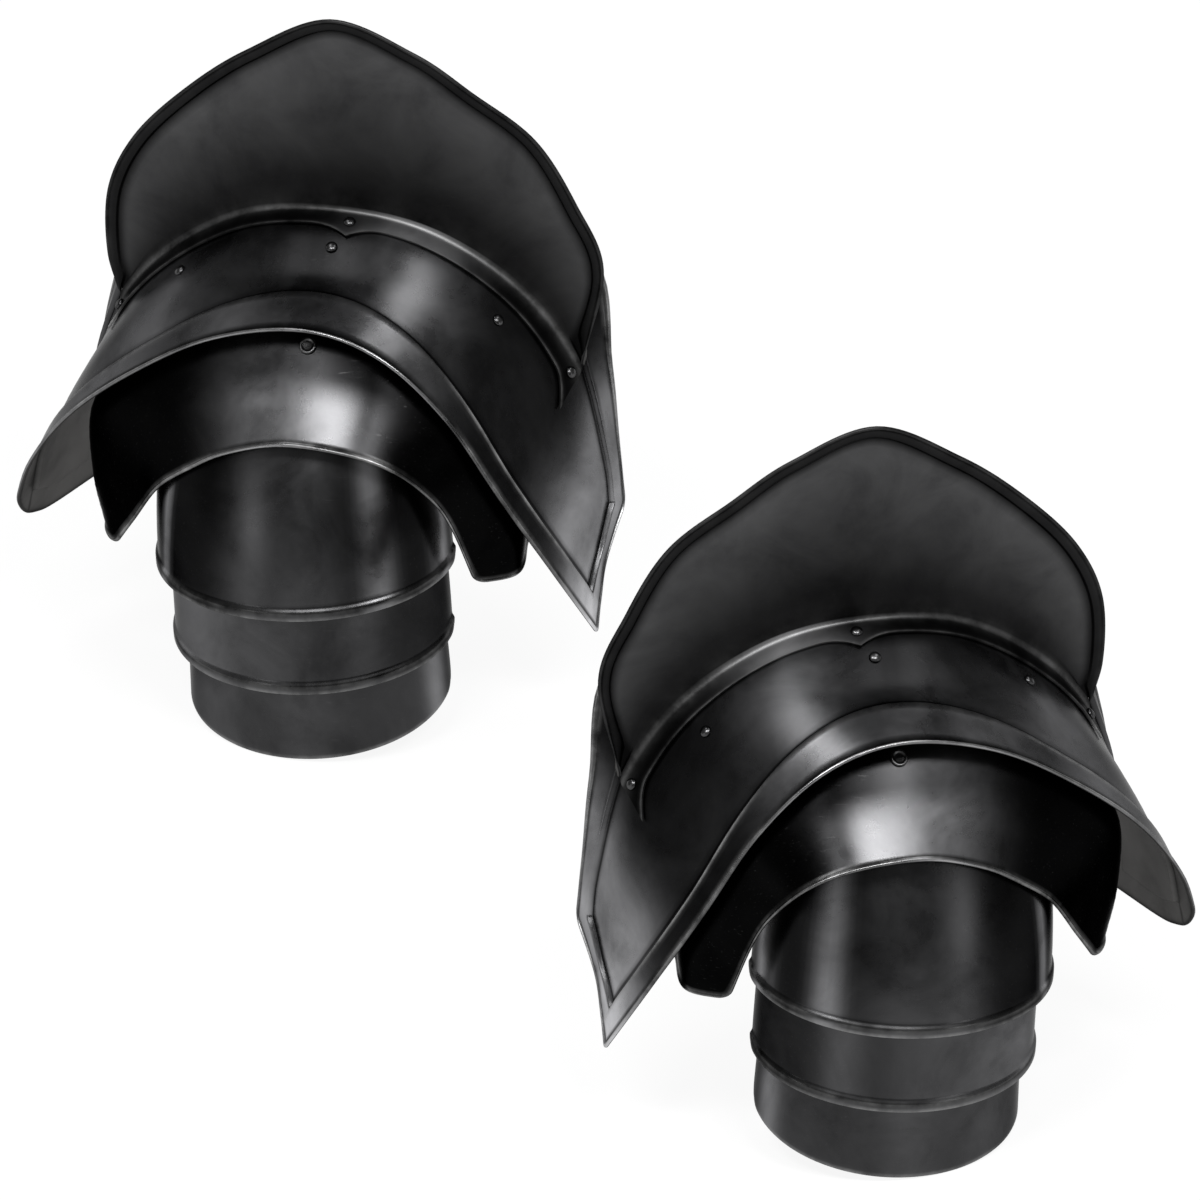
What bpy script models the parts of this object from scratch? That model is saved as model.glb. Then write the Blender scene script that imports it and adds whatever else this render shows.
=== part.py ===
"""A pair of pauldrons: shoulder armour of blackened steel plates on leathers.

Metres, Z up. Each pauldron is drawn in its own frame: X towards the wearer's
front, Y towards the neck, Z up, with the origin on the axis of the arm plates.
The left pauldron is the mirror image of the right one, and stands on the
same level beside and before it.
"""
import math

import bmesh
import bpy
import numpy as np
from mathutils import Matrix, Vector

for old_object in list(bpy.data.objects):
    bpy.data.objects.remove(old_object, do_unlink=True)

# Layout of the pair
PAULDRON_YAW_DEG = 18.0
PAULDRON_SPACING = 0.3165
PAULDRON_STAGGER = 0.4837

# Sheet and fits
SHEET = 0.0014
GAP = 0.0003
HEM_WIDTH = 0.0030
HEM_RISE = 0.0009
HEM_STATION_SHARES = (0.0, 0.40, 1.0)
HEM_RISE_SHARES = (0.0, 1.0, 0.0)
SMOOTH_ANGLE_DEG = 38.0

# Driving sizes: half width and depth of the topmost arm lame, which passes the
# padded arm, height of the shoulder plate above the arm axis, and height of the
# haute-piece above its foot. The plates over the arm lames are shares of these,
# so that they stay clear of one another
ARM_HALF_WIDTH = 0.0828
ARM_DEPTH = 0.0680
SHOULDER_HEIGHT = 0.1800
HAUTE_RISE = 0.1986

# Shoulder plate: four rails from the back end over the shoulder to the front
# tip, as shares of half width, depth and height
SHOULDER_WIDTH_SHARE = 1.8116
SHOULDER_DEPTH_SHARE = 1.4706
SHOULDER_BORDER = 0.0155
SHOULDER_BORDER_SLOPE = 0.0026
SHOULDER_BORDER_RISE = 0.0026
SHOULDER_BACK_CORNER = 0.017
SHOULDER_FRONT_CORNER = 0.003
SHOULDER_NECK_CORNER = 0.006
SHOULDER_COLUMN_COUNT = 13
SHOULDER_ROW_SHARES = (0.20, 0.36, 0.46, 0.57, 0.76)
SHOULDER_NECK_SHARES = (
    (-1.00, 1.00, -0.12), (-1.00, 1.02, 0.18), (-0.97, 1.05, 0.46), (-0.86, 1.08, 0.72),
    (-0.52, 1.14, 0.88), (0.00, 1.18, 0.95), (0.52, 1.14, 0.89), (0.86, 1.10, 0.79),
    (0.94, 0.98, 0.50), (0.99, 0.87, 0.26), (1.03, 0.80, 0.09))
SHOULDER_CREASE_SHARES = (
    (-1.10, 0.62, -0.14), (-1.04, 0.68, 0.16), (-0.93, 0.74, 0.44), (-0.73, 0.73, 0.70),
    (-0.38, 0.65, 0.92), (0.00, 0.62, 0.985), (0.36, 0.66, 0.935), (0.68, 0.73, 0.755),
    (0.88, 0.77, 0.50), (0.98, 0.71, 0.22), (1.00, 0.60, -0.05))
SHOULDER_MIDDLE_SHARES = (
    (-1.13, 0.42, -0.12), (-1.06, 0.38, 0.165), (-0.92, 0.33, 0.42), (-0.70, 0.27, 0.64),
    (-0.36, 0.21, 0.81), (0.02, 0.19, 0.875), (0.34, 0.21, 0.83), (0.62, 0.25, 0.66),
    (0.83, 0.33, 0.38), (0.96, 0.42, 0.10), (1.00, 0.50, -0.155))
SHOULDER_ARCH_SHARES = (
    (-1.16, 0.22, -0.075), (-1.07, 0.08, 0.137), (-0.89, -0.06, 0.358),
    (-0.64, -0.17, 0.555), (-0.31, -0.23, 0.735), (0.04, -0.25, 0.812),
    (0.32, -0.24, 0.755), (0.56, -0.20, 0.575), (0.77, -0.10, 0.28), (0.93, 0.10, 0.0),
    (1.01, 0.40, -0.245))

# Haute-piece: an upright guard standing on a flange along the crease rail; its
# outline runs from the back end over the peak to the front end, in shares of
# half width, depth and rise above its foot, a share of the shoulder's height
HAUTE_WIDTH_SHARE = 1.7150
HAUTE_DEPTH_SHARE = 1.1471
HAUTE_FOOT_SHARE = 0.5422
HAUTE_START_SHARE = 0.230
HAUTE_END_SHARE = 0.795
HAUTE_FLANGE = 0.0120
HAUTE_SEAT = 0.0006
HAUTE_CUSP = 0.0070
HAUTE_CUSP_REACH_SHARE = 0.07
HAUTE_TAIL = 0.0080
HAUTE_TAIL_REACH_SHARE = 0.05
HAUTE_BORDER = 0.0072
HAUTE_BORDER_SLOPE = 0.0014
HAUTE_BORDER_RISE = 0.0014
HAUTE_BEND = 0.0030
HAUTE_COLUMN_COUNT = 25
HAUTE_ROW_COUNT = 2
HAUTE_SHORTEST_SHARE = 0.80
HAUTE_OUTLINE_SHARES = (
    (-0.915, 0.99, 0.006), (-0.98, 1.03, 0.121), (-0.97, 0.99, 0.325), (-0.85, 0.91, 0.512),
    (-0.63, 0.81, 0.694), (-0.37, 0.72, 0.854), (-0.02, 0.64, 1.000), (0.30, 0.72, 0.918),
    (0.52, 0.81, 0.804), (0.75, 0.91, 0.669), (0.90, 0.99, 0.476), (1.00, 1.03, 0.277),
    (0.92, 0.99, 0.0))

# The arm plates hang canted from the shoulder, their lower ends forward
ARM_CANT_DEG = 4.0
ARM_LAME_SHIFT = 0.0015

# Arch lame: three rails from the back end over the shoulder to the front end,
# under the shoulder plate and over the arm lames
ARCH_WIDTH_SHARE = 1.4976
ARCH_DEPTH_SHARE = 0.7350
ARCH_HEIGHT_SHARE = 0.7667
ARCH_HEIGHT = SHOULDER_HEIGHT * ARCH_HEIGHT_SHARE
ARCH_CORNER = 0.007
ARCH_COLUMN_COUNT = 13
ARCH_ROW_COUNT = 4
ARCH_NECK_SHARES = (
    (-0.95, 0.68, 0.096), (-0.96, 0.64, 0.315), (-0.90, 0.56, 0.575), (-0.695, 0.40, 0.79),
    (-0.345, 0.16, 0.95), (0.08, 0.04, 0.998), (0.47, 0.12, 0.92), (0.75, 0.36, 0.72),
    (0.90, 0.54, 0.46), (0.95, 0.64, 0.20), (0.92, 0.68, 0.000))
ARCH_MIDDLE_SHARES = (
    (-0.95, 0.24, 0.002), (-0.98, 0.16, 0.243), (-0.94, 0.08, 0.531),
    (-0.715, -0.04, 0.752), (-0.365, -0.18, 0.908), (0.07, -0.24, 0.961),
    (0.46, -0.20, 0.885), (0.745, -0.08, 0.68), (0.895, 0.04, 0.395), (0.95, 0.14, 0.13),
    (0.93, 0.24, -0.058))
ARCH_EDGE_SHARES = (
    (-0.89, 0.04, -0.042), (-0.75, -0.24, 0.125), (-0.57, -0.62, 0.343),
    (-0.39, -0.80, 0.470), (-0.20, -0.92, 0.570), (0.06, -0.98, 0.634),
    (0.36, -0.96, 0.612), (0.56, -0.84, 0.529), (0.69, -0.68, 0.396),
    (0.74, -0.44, 0.233), (0.77, -0.04, -0.066))

# Arm lames, nested one inside the next above; the topmost lies under the arch
# lame, so its heights are shares of that one's
ARM_WRAP_DEG = 100.0
ARM_CLEARANCES = (0.0038, 0.0045)
ARM_LIP = 0.0062
ARM_LIP_SLOPE = 0.0036
ARM_LIP_RISE = 0.0014
ARM_CORNER = 0.010
ARM_CORNER_STATION_SHARES = (0.0, 0.34, 1.0)
ARM_COLUMN_COUNT = 11
ARM_ROW_COUNT = 2
TOP_LAME_TOP_SHARE = 0.7536
TOP_LAME_SIDE_SHARE = -0.2174
TOP_LAME_FRONT_SHARE = -0.0580
TOP_LAME_RISE_SHARE = 0.0580
ARM_TOPS = (ARCH_HEIGHT * TOP_LAME_TOP_SHARE, 0.014, -0.032)
ARM_TOP_SIDE_RISES = (ARCH_HEIGHT * TOP_LAME_SIDE_SHARE, 0.008, 0.011)
ARM_FRONTS = (ARCH_HEIGHT * TOP_LAME_FRONT_SHARE, -0.054, -0.095)
ARM_SIDE_RISES = (ARCH_HEIGHT * TOP_LAME_RISE_SHARE, 0.011, 0.018)
ARM_TAPERS = (0.0, -0.0001, -0.0017)
ARM_BELL_DEPTH_SHARE = 0.62
ARM_BELL_DEPTH_POWER = 1.6
ARM_BELL_WIDTH_SHARE = 0.20
ARM_BELL_WIDTH_POWER = 3.0

# Hinge lines across the lame ends, in the arm plates' frame
ARCH_AXIS_Y = 0.025
ARCH_AXIS_HEIGHT_SHARE = 0.5073
TOP_LAME_AXIS_HEIGHT_SHARE = 0.3986
ARCH_AXIS_Z = ARCH_HEIGHT * ARCH_AXIS_HEIGHT_SHARE
ARM_AXES_Y = (0.015, 0.010, 0.010)
ARM_AXES_Z = (ARCH_HEIGHT * TOP_LAME_AXIS_HEIGHT_SHARE, 0.005, -0.040)

# Rivets: head radius, head height, dome as shares of both, and sides
RIVET_HEADS = {
    "domed": (0.0033, 0.0019, ((0.0, 1.0), (0.62, 0.78)), 8),
    "flat": (0.0030, 0.0010, ((0.0, 1.0), ), 6),
    "disc": (0.0048, 0.0013, ((0.0, 0.55), (0.62, 0.55), (0.78, 1.0)), 10)}
RIVET_SHANK = 0.0015
RIVET_BURR_RADIUS = 0.0028
RIVET_BURR_HEIGHT = 0.0009
RIVET_BURR_ROOM = 0.0017
HOLE_SIDE_COUNT = 6
HOLE_REACH = 0.0140
SHOULDER_RIVET_SHARES = ((0.338, 0.510), (0.500, 0.512), (0.692, 0.490))
ARCH_RIVET_SHARES = (0.30, 0.512, 0.68)
ARCH_RIVET_INSET = 0.0155
ARM_RIVET_DEGS = (-72.0, 0.0, 72.0)
ARM_RIVET_INSET = 0.0085
HAUTE_RIVET_NAMES = ("back", "middle", "front")
HAUTE_RIVET_SHARES = (0.018, 0.5, 0.982)
HAUTE_RIVET_INSETS = (0.0062, 0.0090, 0.0062)

# Holes at the neck side, laced to the wearer's collar
COLLAR_HOLE_RADIUS = 0.0025
COLLAR_HOLE_SIDE_COUNT = 12
COLLAR_HOLE_SPREAD = 0.0100
COLLAR_HOLE_INSET = 0.0245

# Leathers under the plates: extra stops below the rivet of each arm lame, as
# shares of the lame's height
LEATHER_WIDTH = 0.016
LEATHER_THICKNESS = 0.0024
LEATHER_ROOM = 0.0022
LEATHER_LEAD = 0.0080
LEATHER_SEAT = 0.0052
LEATHER_DIVE = 0.0016
LEATHER_STOP_SHARES = ((0.232, 0.446), (0.353,), ())
MIDDLE_LEATHER_JOINT_COUNT = 2

# Arm strap and its buckle, on the outer rivets of the lowest lame
STRAP_WIDTH = 0.018
STRAP_THICKNESS = 0.0024
STRAP_HEIGHT_Z = -0.035
STRAP_START_DEG = 65.0
STRAP_END_DEG = 106.5
STRAP_CLIMB_DEG = 22.0
STRAP_COLUMN_COUNT = 27
STRAP_SLOT_WIDTH = 0.0040
STRAP_SLOT_BACK = 0.0040
STRAP_SLOT_FRONT = 0.0110
STRAP_SLOT_BOTTOM = -0.0024
STRAP_SLOT_TOP = 0.0090
CHAPE_THICKNESS = 0.0018
CHAPE_COLUMN_COUNT = 7
CHAPE_LEAD_DEG = 6.0
CHAPE_LOOP_DEG = 280.0
CHAPE_LOOP_STEP_COUNT = 9
CHAPE_SLOT_WIDTH = 0.0054
CHAPE_SLOT_BACK = 0.0052
CHAPE_SLOT_FRONT = 0.0044
CHAPE_SLOT_DEPTH = 0.0046
BUCKLE_DEG = 114.0
BUCKLE_BAR_RADIUS = 0.0013
BUCKLE_WIDTH_SHARE = 1.5
BUCKLE_WIDTH = STRAP_WIDTH * BUCKLE_WIDTH_SHARE
BUCKLE_LENGTH = 0.0150
BUCKLE_CORNER = 0.0040
BUCKLE_CORNER_STEP_COUNT = 3
BUCKLE_SIDE_COUNT = 6
PRONG_RADIUS = 0.0010
PRONG_OVERHANG = 0.0014
PRONG_EYE_END_DEG = 350.0
PRONG_EYE_TOP_DEG = 100.0
PRONG_EYE_STEP_COUNT = 9

# Numerical steps
SAMPLE_COUNT = 121
STEP_SHARE = 0.001
SMALLEST_MITRE_SHARE = 0.6

# Finishes: colour, metallic and roughness
STEEL_FINISH = ((0.020, 0.020, 0.021, 1.0), 1.0, 0.34)
RIVET_FINISH = ((0.030, 0.030, 0.031, 1.0), 1.0, 0.30)
LEATHER_FINISH = ((0.045, 0.022, 0.012, 1.0), 0.0, 0.70)


def padded_net(net, axis):
    """One extrapolated row before and after, for the spline to lean on."""
    before = 2 * np.take(net, [0], axis) - np.take(net, [1], axis)
    after = 2 * np.take(net, [-1], axis) - np.take(net, [-2], axis)
    return np.concatenate([before, net, after], axis)


def spline_weights(share, count):
    """Catmull-Rom index and weights for a share along rows of a table."""
    place = np.asarray(share, float) * (count - 1)
    index = np.clip(np.floor(place).astype(int), 0, count - 2)
    f = place - index
    weights = np.stack([
        -f + 2 * f**2 - f**3, 2 - 5 * f**2 + 3 * f**3,
        f + 4 * f**2 - 3 * f**3, f**3 - f**2], -1) / 2
    return index, weights


def net_point(net, u, v):
    """Point of the smooth surface through a net of rails."""
    u, v = np.broadcast_arrays(np.asarray(u, float), np.asarray(v, float))
    rows, columns = net.shape[:2]
    grid = padded_net(padded_net(net, 0), 1)
    row, row_weights = spline_weights(v, rows)
    column, column_weights = spline_weights(u, columns)
    total = np.zeros(u.shape + (3,))
    for a in range(4):
        for b in range(4):
            weight = row_weights[..., a] * column_weights[..., b]
            total = total + weight[..., None] * grid[row + a, column + b]
    return total


def scaled_net(tables, half_width, depth, height):
    return np.array(tables, float) * (half_width, depth, height)


SHOULDER_NET = scaled_net(
    (SHOULDER_NECK_SHARES, SHOULDER_CREASE_SHARES, SHOULDER_MIDDLE_SHARES,
     SHOULDER_ARCH_SHARES),
    ARM_HALF_WIDTH * SHOULDER_WIDTH_SHARE, ARM_DEPTH * SHOULDER_DEPTH_SHARE, SHOULDER_HEIGHT)
SHOULDER_CREASE_V = 1 / 3
ARCH_NET = scaled_net(
    (ARCH_NECK_SHARES, ARCH_MIDDLE_SHARES, ARCH_EDGE_SHARES),
    ARM_HALF_WIDTH * ARCH_WIDTH_SHARE, ARM_DEPTH * ARCH_DEPTH_SHARE, ARCH_HEIGHT)
HAUTE_NET = scaled_net(
    (HAUTE_OUTLINE_SHARES, HAUTE_OUTLINE_SHARES),
    ARM_HALF_WIDTH * HAUTE_WIDTH_SHARE, ARM_DEPTH * HAUTE_DEPTH_SHARE, HAUTE_RISE)
HAUTE_NET[..., 2] += SHOULDER_HEIGHT * HAUTE_FOOT_SHARE


def arm_to_shoulder(points):
    """From the canted frame of the arm plates to the pauldron's frame."""
    cant = math.radians(ARM_CANT_DEG)
    x, y, z = points[..., 0], points[..., 1], points[..., 2]
    return np.stack([
        x * math.cos(cant) - z * math.sin(cant), y,
        x * math.sin(cant) + z * math.cos(cant)], -1)


def shoulder_surface(u, v):
    return net_point(SHOULDER_NET, u, v)


def arch_surface(u, v):
    return arm_to_shoulder(net_point(ARCH_NET, u, v))


def arm_inset(lame):
    """How far a lame's lip level lies inside that of the topmost arm lame."""
    inset = 0.0
    for above in range(lame):
        rise_above = ARM_LIP_RISE
        rise_below = ARM_LIP_RISE if above + 1 < len(ARM_FRONTS) - 1 else 0.0
        inset += rise_above - rise_below + SHEET + ARM_CLEARANCES[above] + ARM_TAPERS[above]
    return inset


def arm_lame_surface(lame):
    inset = arm_inset(lame)

    def surface(u, v):
        u, v = np.broadcast_arrays(np.asarray(u, float), np.asarray(v, float))
        angle = math.radians(ARM_WRAP_DEG) * (2 * u - 1)
        aside = 1 - np.cos(angle)
        top = ARM_TOPS[lame] + ARM_TOP_SIDE_RISES[lame] * aside
        low = ARM_FRONTS[lame] + ARM_SIDE_RISES[lame] * aside
        z = top + (low - top) * v
        bell = np.clip((z - ARM_FRONTS[0]) / (ARM_TOPS[0] - ARM_FRONTS[0]), 0, None)
        taper = inset + ARM_TAPERS[lame] * np.clip(v, 0, 1)
        narrowed = ARM_BELL_WIDTH_SHARE * bell ** ARM_BELL_WIDTH_POWER
        shallowed = ARM_BELL_DEPTH_SHARE * bell ** ARM_BELL_DEPTH_POWER
        half_width = ARM_HALF_WIDTH * (1 - narrowed) - taper
        depth = ARM_DEPTH * (1 - shallowed) - taper
        x = half_width * np.sin(angle) + ARM_LAME_SHIFT * lame
        return arm_to_shoulder(np.stack([x, -depth * np.cos(angle), z], -1))

    return surface


ARM_SURFACES = [arm_lame_surface(lame) for lame in range(len(ARM_FRONTS))]


def unit(vectors):
    return vectors / np.linalg.norm(vectors, axis=-1, keepdims=True)


def surface_slopes(surface, u, v):
    along = (surface(u + STEP_SHARE, v) - surface(u - STEP_SHARE, v)) / (2 * STEP_SHARE)
    down = (surface(u, v + STEP_SHARE) - surface(u, v - STEP_SHARE)) / (2 * STEP_SHARE)
    return along, down


def surface_normal(surface, u, v):
    along, down = surface_slopes(surface, u, v)
    return unit(np.cross(down, along))


def moved(surface, u, v, across, down_by):
    """Shares reached from (u, v) by going a distance across and down."""
    along, down = surface_slopes(surface, u, v)
    return (u + across / np.linalg.norm(along, axis=-1),
            v + down_by / np.linalg.norm(down, axis=-1))


def run_lengths(surface, other, along_u):
    """Shares along one line of a surface and the distance to each."""
    shares = np.linspace(0, 1, SAMPLE_COUNT)
    points = surface(shares, other) if along_u else surface(other, shares)
    steps = np.linalg.norm(np.diff(points, axis=0), axis=1)
    return shares, np.concatenate([[0.0], np.cumsum(steps)])


def stations(length, first_bands, last_bands, inner):
    """Distances along a line: bands from both ends and inner shares between them."""
    first = np.asarray(first_bands, float)
    last = length - np.asarray(last_bands, float)[::-1]
    between = first[-1] + (last[0] - first[-1]) * np.asarray(inner)
    return np.concatenate([first, between, last])


def even_shares(count):
    return np.linspace(0, 1, count + 2)[1:-1]


def hem_bands():
    return [HEM_WIDTH * share for share in HEM_STATION_SHARES]


def border_bands(width, slope):
    return [width - slope / 2, width + slope / 2]


def hem_height(distance):
    places = [HEM_WIDTH * share for share in HEM_STATION_SHARES]
    return HEM_RISE * np.interp(distance, places, HEM_RISE_SHARES)


def border_depth(distance, width, slope, rise):
    """Zero on the raised border, the full rise below it inside."""
    return -rise * np.clip((distance - width + slope / 2) / slope, 0, 1)


def surface_grid(surface, bands, inner_columns, inner_rows, corners):
    """Points of a plate with stations in bands along its four sides.

    bands: distances from the back end, front end, neck side and lower side.
    corners: radii at back-neck, front-neck, back-lower and front-lower.
    Returns the points and, for each side, every point's distance from it.
    """
    back, front, neck, lower = bands
    column_count = len(back) + len(inner_columns) + len(front)
    row_count = len(neck) + len(inner_rows) + len(lower)
    shares, middle = run_lengths(surface, 0.5, True)
    nominal_u = np.interp(stations(middle[-1], back, front, inner_columns), middle, shares)
    shares, middle = run_lengths(surface, 0.5, False)
    nominal_v = np.interp(stations(middle[-1], neck, lower, inner_rows), middle, shares)
    from_back = np.zeros((row_count, column_count))
    from_neck = np.zeros((row_count, column_count))
    row_lengths = np.zeros((row_count, 1))
    column_lengths = np.zeros((1, column_count))
    row_runs = [run_lengths(surface, v, True)[1] for v in nominal_v]
    column_runs = [run_lengths(surface, u, False)[1] for u in nominal_u]
    for j, run in enumerate(row_runs):
        row_lengths[j] = run[-1]
        from_back[j] = stations(run[-1], back, front, inner_columns)
    for i, run in enumerate(column_runs):
        column_lengths[0, i] = run[-1]
        from_neck[:, i] = stations(run[-1], neck, lower, inner_rows)
    sides = [from_back, row_lengths - from_back, from_neck, column_lengths - from_neck]
    placed_back = from_back.copy()
    placed_neck = from_neck.copy()
    for index, radius in enumerate(corners):
        across = sides[index % 2]
        down = sides[2 + index // 2]
        inside = (across < radius) & (down < radius)
        dx = radius - across
        dy = radius - down
        round_length = np.hypot(dx, dy)
        square_length = np.maximum(dx, dy)
        scale = np.where(round_length > 0, square_length / np.maximum(round_length, GAP), 1)
        new_across = np.where(inside, radius - dx * scale, across)
        new_down = np.where(inside, radius - dy * scale, down)
        if index % 2 == 0:
            placed_back = np.where(inside, new_across, placed_back)
        else:
            placed_back = np.where(inside, row_lengths - new_across, placed_back)
        if index // 2 == 0:
            placed_neck = np.where(inside, new_down, placed_neck)
        else:
            placed_neck = np.where(inside, column_lengths - new_down, placed_neck)
    u = np.zeros_like(placed_back)
    v = np.zeros_like(placed_neck)
    for j, run in enumerate(row_runs):
        u[j] = np.interp(placed_back[j], run, shares)
    for i, run in enumerate(column_runs):
        v[:, i] = np.interp(placed_neck[:, i], run, shares)
    return surface(u, v), sides


def grid_normals(points):
    """Outward normals of a grid, lengthened where it folds."""
    diagonal_a = points[1:, 1:] - points[:-1, :-1]
    diagonal_b = points[1:, :-1] - points[:-1, 1:]
    faces = unit(np.cross(diagonal_b, diagonal_a))
    total = np.zeros_like(points)
    weight = np.zeros(points.shape[:2] + (1,))
    for a in (slice(None, -1), slice(1, None)):
        for b in (slice(None, -1), slice(1, None)):
            total[a, b] += faces
            weight[a, b] += 1
    normal = unit(total)
    mitre = np.clip(np.linalg.norm(total / weight, axis=-1, keepdims=True), SMALLEST_MITRE_SHARE, 1)
    return normal / mitre


def solid_from_grids(outer, inner):
    """Closed body between two grids of equal size."""
    rows, columns = outer.shape[:2]
    count = rows * columns
    index = np.arange(count).reshape(rows, columns)
    faces = []
    for j in range(rows - 1):
        for i in range(columns - 1):
            a, b, c, d = index[j, i], index[j + 1, i], index[j + 1, i + 1], index[j, i + 1]
            faces.append((a, b, c, d))
            faces.append((count + d, count + c, count + b, count + a))
    rim = list(index[0, :]) + list(index[1:, -1])
    rim += list(index[-1, -2::-1]) + list(index[-2:0:-1, 0])
    for k, here in enumerate(rim):
        after = rim[(k + 1) % len(rim)]
        faces.append((here, after, count + after, count + here))
    points = np.concatenate([outer.reshape(-1, 3), inner.reshape(-1, 3)])
    return points, faces


def material(name, finish):
    colour, metallic, roughness = finish
    made = bpy.data.materials.new(name)
    made.use_nodes = True
    shader = made.node_tree.nodes["Principled BSDF"]
    shader.inputs["Base Color"].default_value = colour
    shader.inputs["Metallic"].default_value = metallic
    shader.inputs["Roughness"].default_value = roughness
    return made


def mesh_of(name, points, faces):
    """Smooth-shaded mesh with its faces turned outwards and one material slot."""
    mesh = bpy.data.meshes.new(name)
    mesh.from_pydata([tuple(p) for p in points], [], [tuple(map(int, f)) for f in faces])
    tidy = bmesh.new()
    tidy.from_mesh(mesh)
    bmesh.ops.recalc_face_normals(tidy, faces=tidy.faces[:])
    tidy.to_mesh(mesh)
    tidy.free()
    mesh.shade_smooth()
    mesh.set_sharp_from_angle(angle=math.radians(SMOOTH_ANGLE_DEG))
    mesh.materials.append(None)
    return mesh


RIVET_MESHES = {}


class Side:
    """One pauldron: its frame in the world and whether it is mirrored."""

    def __init__(self, name, sign, origin):
        self.name = name
        self.sign = sign
        self.frame = bpy.data.objects.new(name + "_frame", None)
        self.frame.location = origin
        self.frame.rotation_euler.z = -sign * math.radians(PAULDRON_YAW_DEG)
        bpy.context.scene.collection.objects.link(self.frame)
        self.axes = {}

    def axis(self, name, point):
        """Empty on a hinge line; pieces of that body are parented to it."""
        empty = bpy.data.objects.new(f"{self.name}_{name}_axis", None)
        empty.parent = self.frame
        empty.location = (self.sign * point[0], point[1], point[2])
        bpy.context.scene.collection.objects.link(empty)
        self.axes[name] = (empty, np.asarray(point, float))

    def place(self, name, mesh, body, point, normal, finish):
        """Object of one node, parented to its body's empty."""
        parent, pivot = self.axes.get(body, (self.frame, np.zeros(3)))
        mirror = np.array((self.sign, 1, 1))
        built = bpy.data.objects.new(f"{self.name}_{name}", mesh)
        built.parent = parent
        if point is not None:
            built.matrix_local = frame_at((point - pivot) * mirror, normal * mirror)
        bpy.context.scene.collection.objects.link(built)
        if finish is not None:
            built.material_slots[0].link = "OBJECT"
            built.material_slots[0].material = material(built.name, finish)
        return built

    def build(self, name, points, faces, body, finish):
        """Node with a mesh of its own, drawn where it lies."""
        pivot = self.axes.get(body, (self.frame, np.zeros(3)))[1]
        local = (np.asarray(points, float) - pivot) * (self.sign, 1, 1)
        mesh = mesh_of(f"{self.name}_{name}", local, faces)
        return self.place(name, mesh, body, None, None, finish)

    def rivet(self, name, spot, head, grip, body):
        """Rivet set at a spot; equal rivets share one mesh."""
        key = (head, round(grip / GAP))
        if key not in RIVET_MESHES:
            RIVET_MESHES[key] = mesh_of(f"{head}_rivet", *rivet_body(head, grip))
        return self.place(name, RIVET_MESHES[key], body, *spot, RIVET_FINISH)

    def cutter(self, name, points, faces, body):
        built = self.build(name, points, faces, body, None)
        built.hide_render = True
        built.display_type = "WIRE"
        return built


def cut(target, cutter):
    modifier = target.modifiers.new("holes", "BOOLEAN")
    modifier.operation = "DIFFERENCE"
    modifier.solver = "EXACT"
    modifier.object = cutter


def frame_at(point, normal):
    """Rotation that turns +Z onto a normal, moved to a point."""
    turn = Vector((0, 0, 1)).rotation_difference(Vector(normal)).to_matrix()
    return Matrix.Translation(Vector(point)) @ turn.to_4x4()


def revolved(profile, sides):
    """Closed body turned about Z from (radius, height) pairs that start and end on Z."""
    points = []
    faces = []
    rings = []
    for radius, height in profile:
        if radius == 0:
            rings.append([len(points)])
            points.append((0, 0, height))
            continue
        ring = []
        for k in range(sides):
            turn = 2 * math.pi * k / sides
            ring.append(len(points))
            points.append((radius * math.cos(turn), radius * math.sin(turn), height))
        rings.append(ring)
    for upper, lower in zip(rings, rings[1:]):
        for k in range(sides):
            after = (k + 1) % sides
            if len(upper) == 1:
                faces.append((upper[0], lower[k], lower[after]))
            elif len(lower) == 1:
                faces.append((upper[k], lower[0], upper[after]))
            else:
                faces.append((upper[k], lower[k], lower[after], upper[after]))
    return np.array(points), faces


def rivet_body(head, grip):
    """Rivet with its head seated at Z zero, gripping a stack below it."""
    radius, height, dome_shares, sides = RIVET_HEADS[head]
    burr_top = -grip - RIVET_BURR_ROOM
    burr_bottom = burr_top - RIVET_BURR_HEIGHT
    profile = [(radius * r, GAP + height * h) for r, h in dome_shares]
    profile += [(radius, GAP), (RIVET_SHANK, GAP), (RIVET_SHANK, burr_top)]
    profile += [(RIVET_BURR_RADIUS, burr_top), (RIVET_BURR_RADIUS, burr_bottom)]
    profile.append((0, burr_bottom))
    return revolved(profile, sides)


def hole_cutters(spots, radius, sides):
    """Drills through a list of spots, as one list of points and faces."""
    profile = [(0, HOLE_REACH), (radius, HOLE_REACH), (radius, -HOLE_REACH), (0, -HOLE_REACH)]
    points = []
    faces = []
    for point, normal in spots:
        drill_points, drill_faces = revolved(profile, sides)
        place = frame_at(point, normal)
        start = len(points)
        points += [tuple(place @ Vector(p)) for p in drill_points]
        faces += [tuple(k + start for k in face) for face in drill_faces]
    return points, faces


def spot_on(surface, u, v, depth):
    """Point and outward normal at a depth off a surface, where a rivet seats."""
    normal = surface_normal(surface, np.array(u), np.array(v))
    return surface(np.array(u), np.array(v)) + normal * depth, normal


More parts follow.
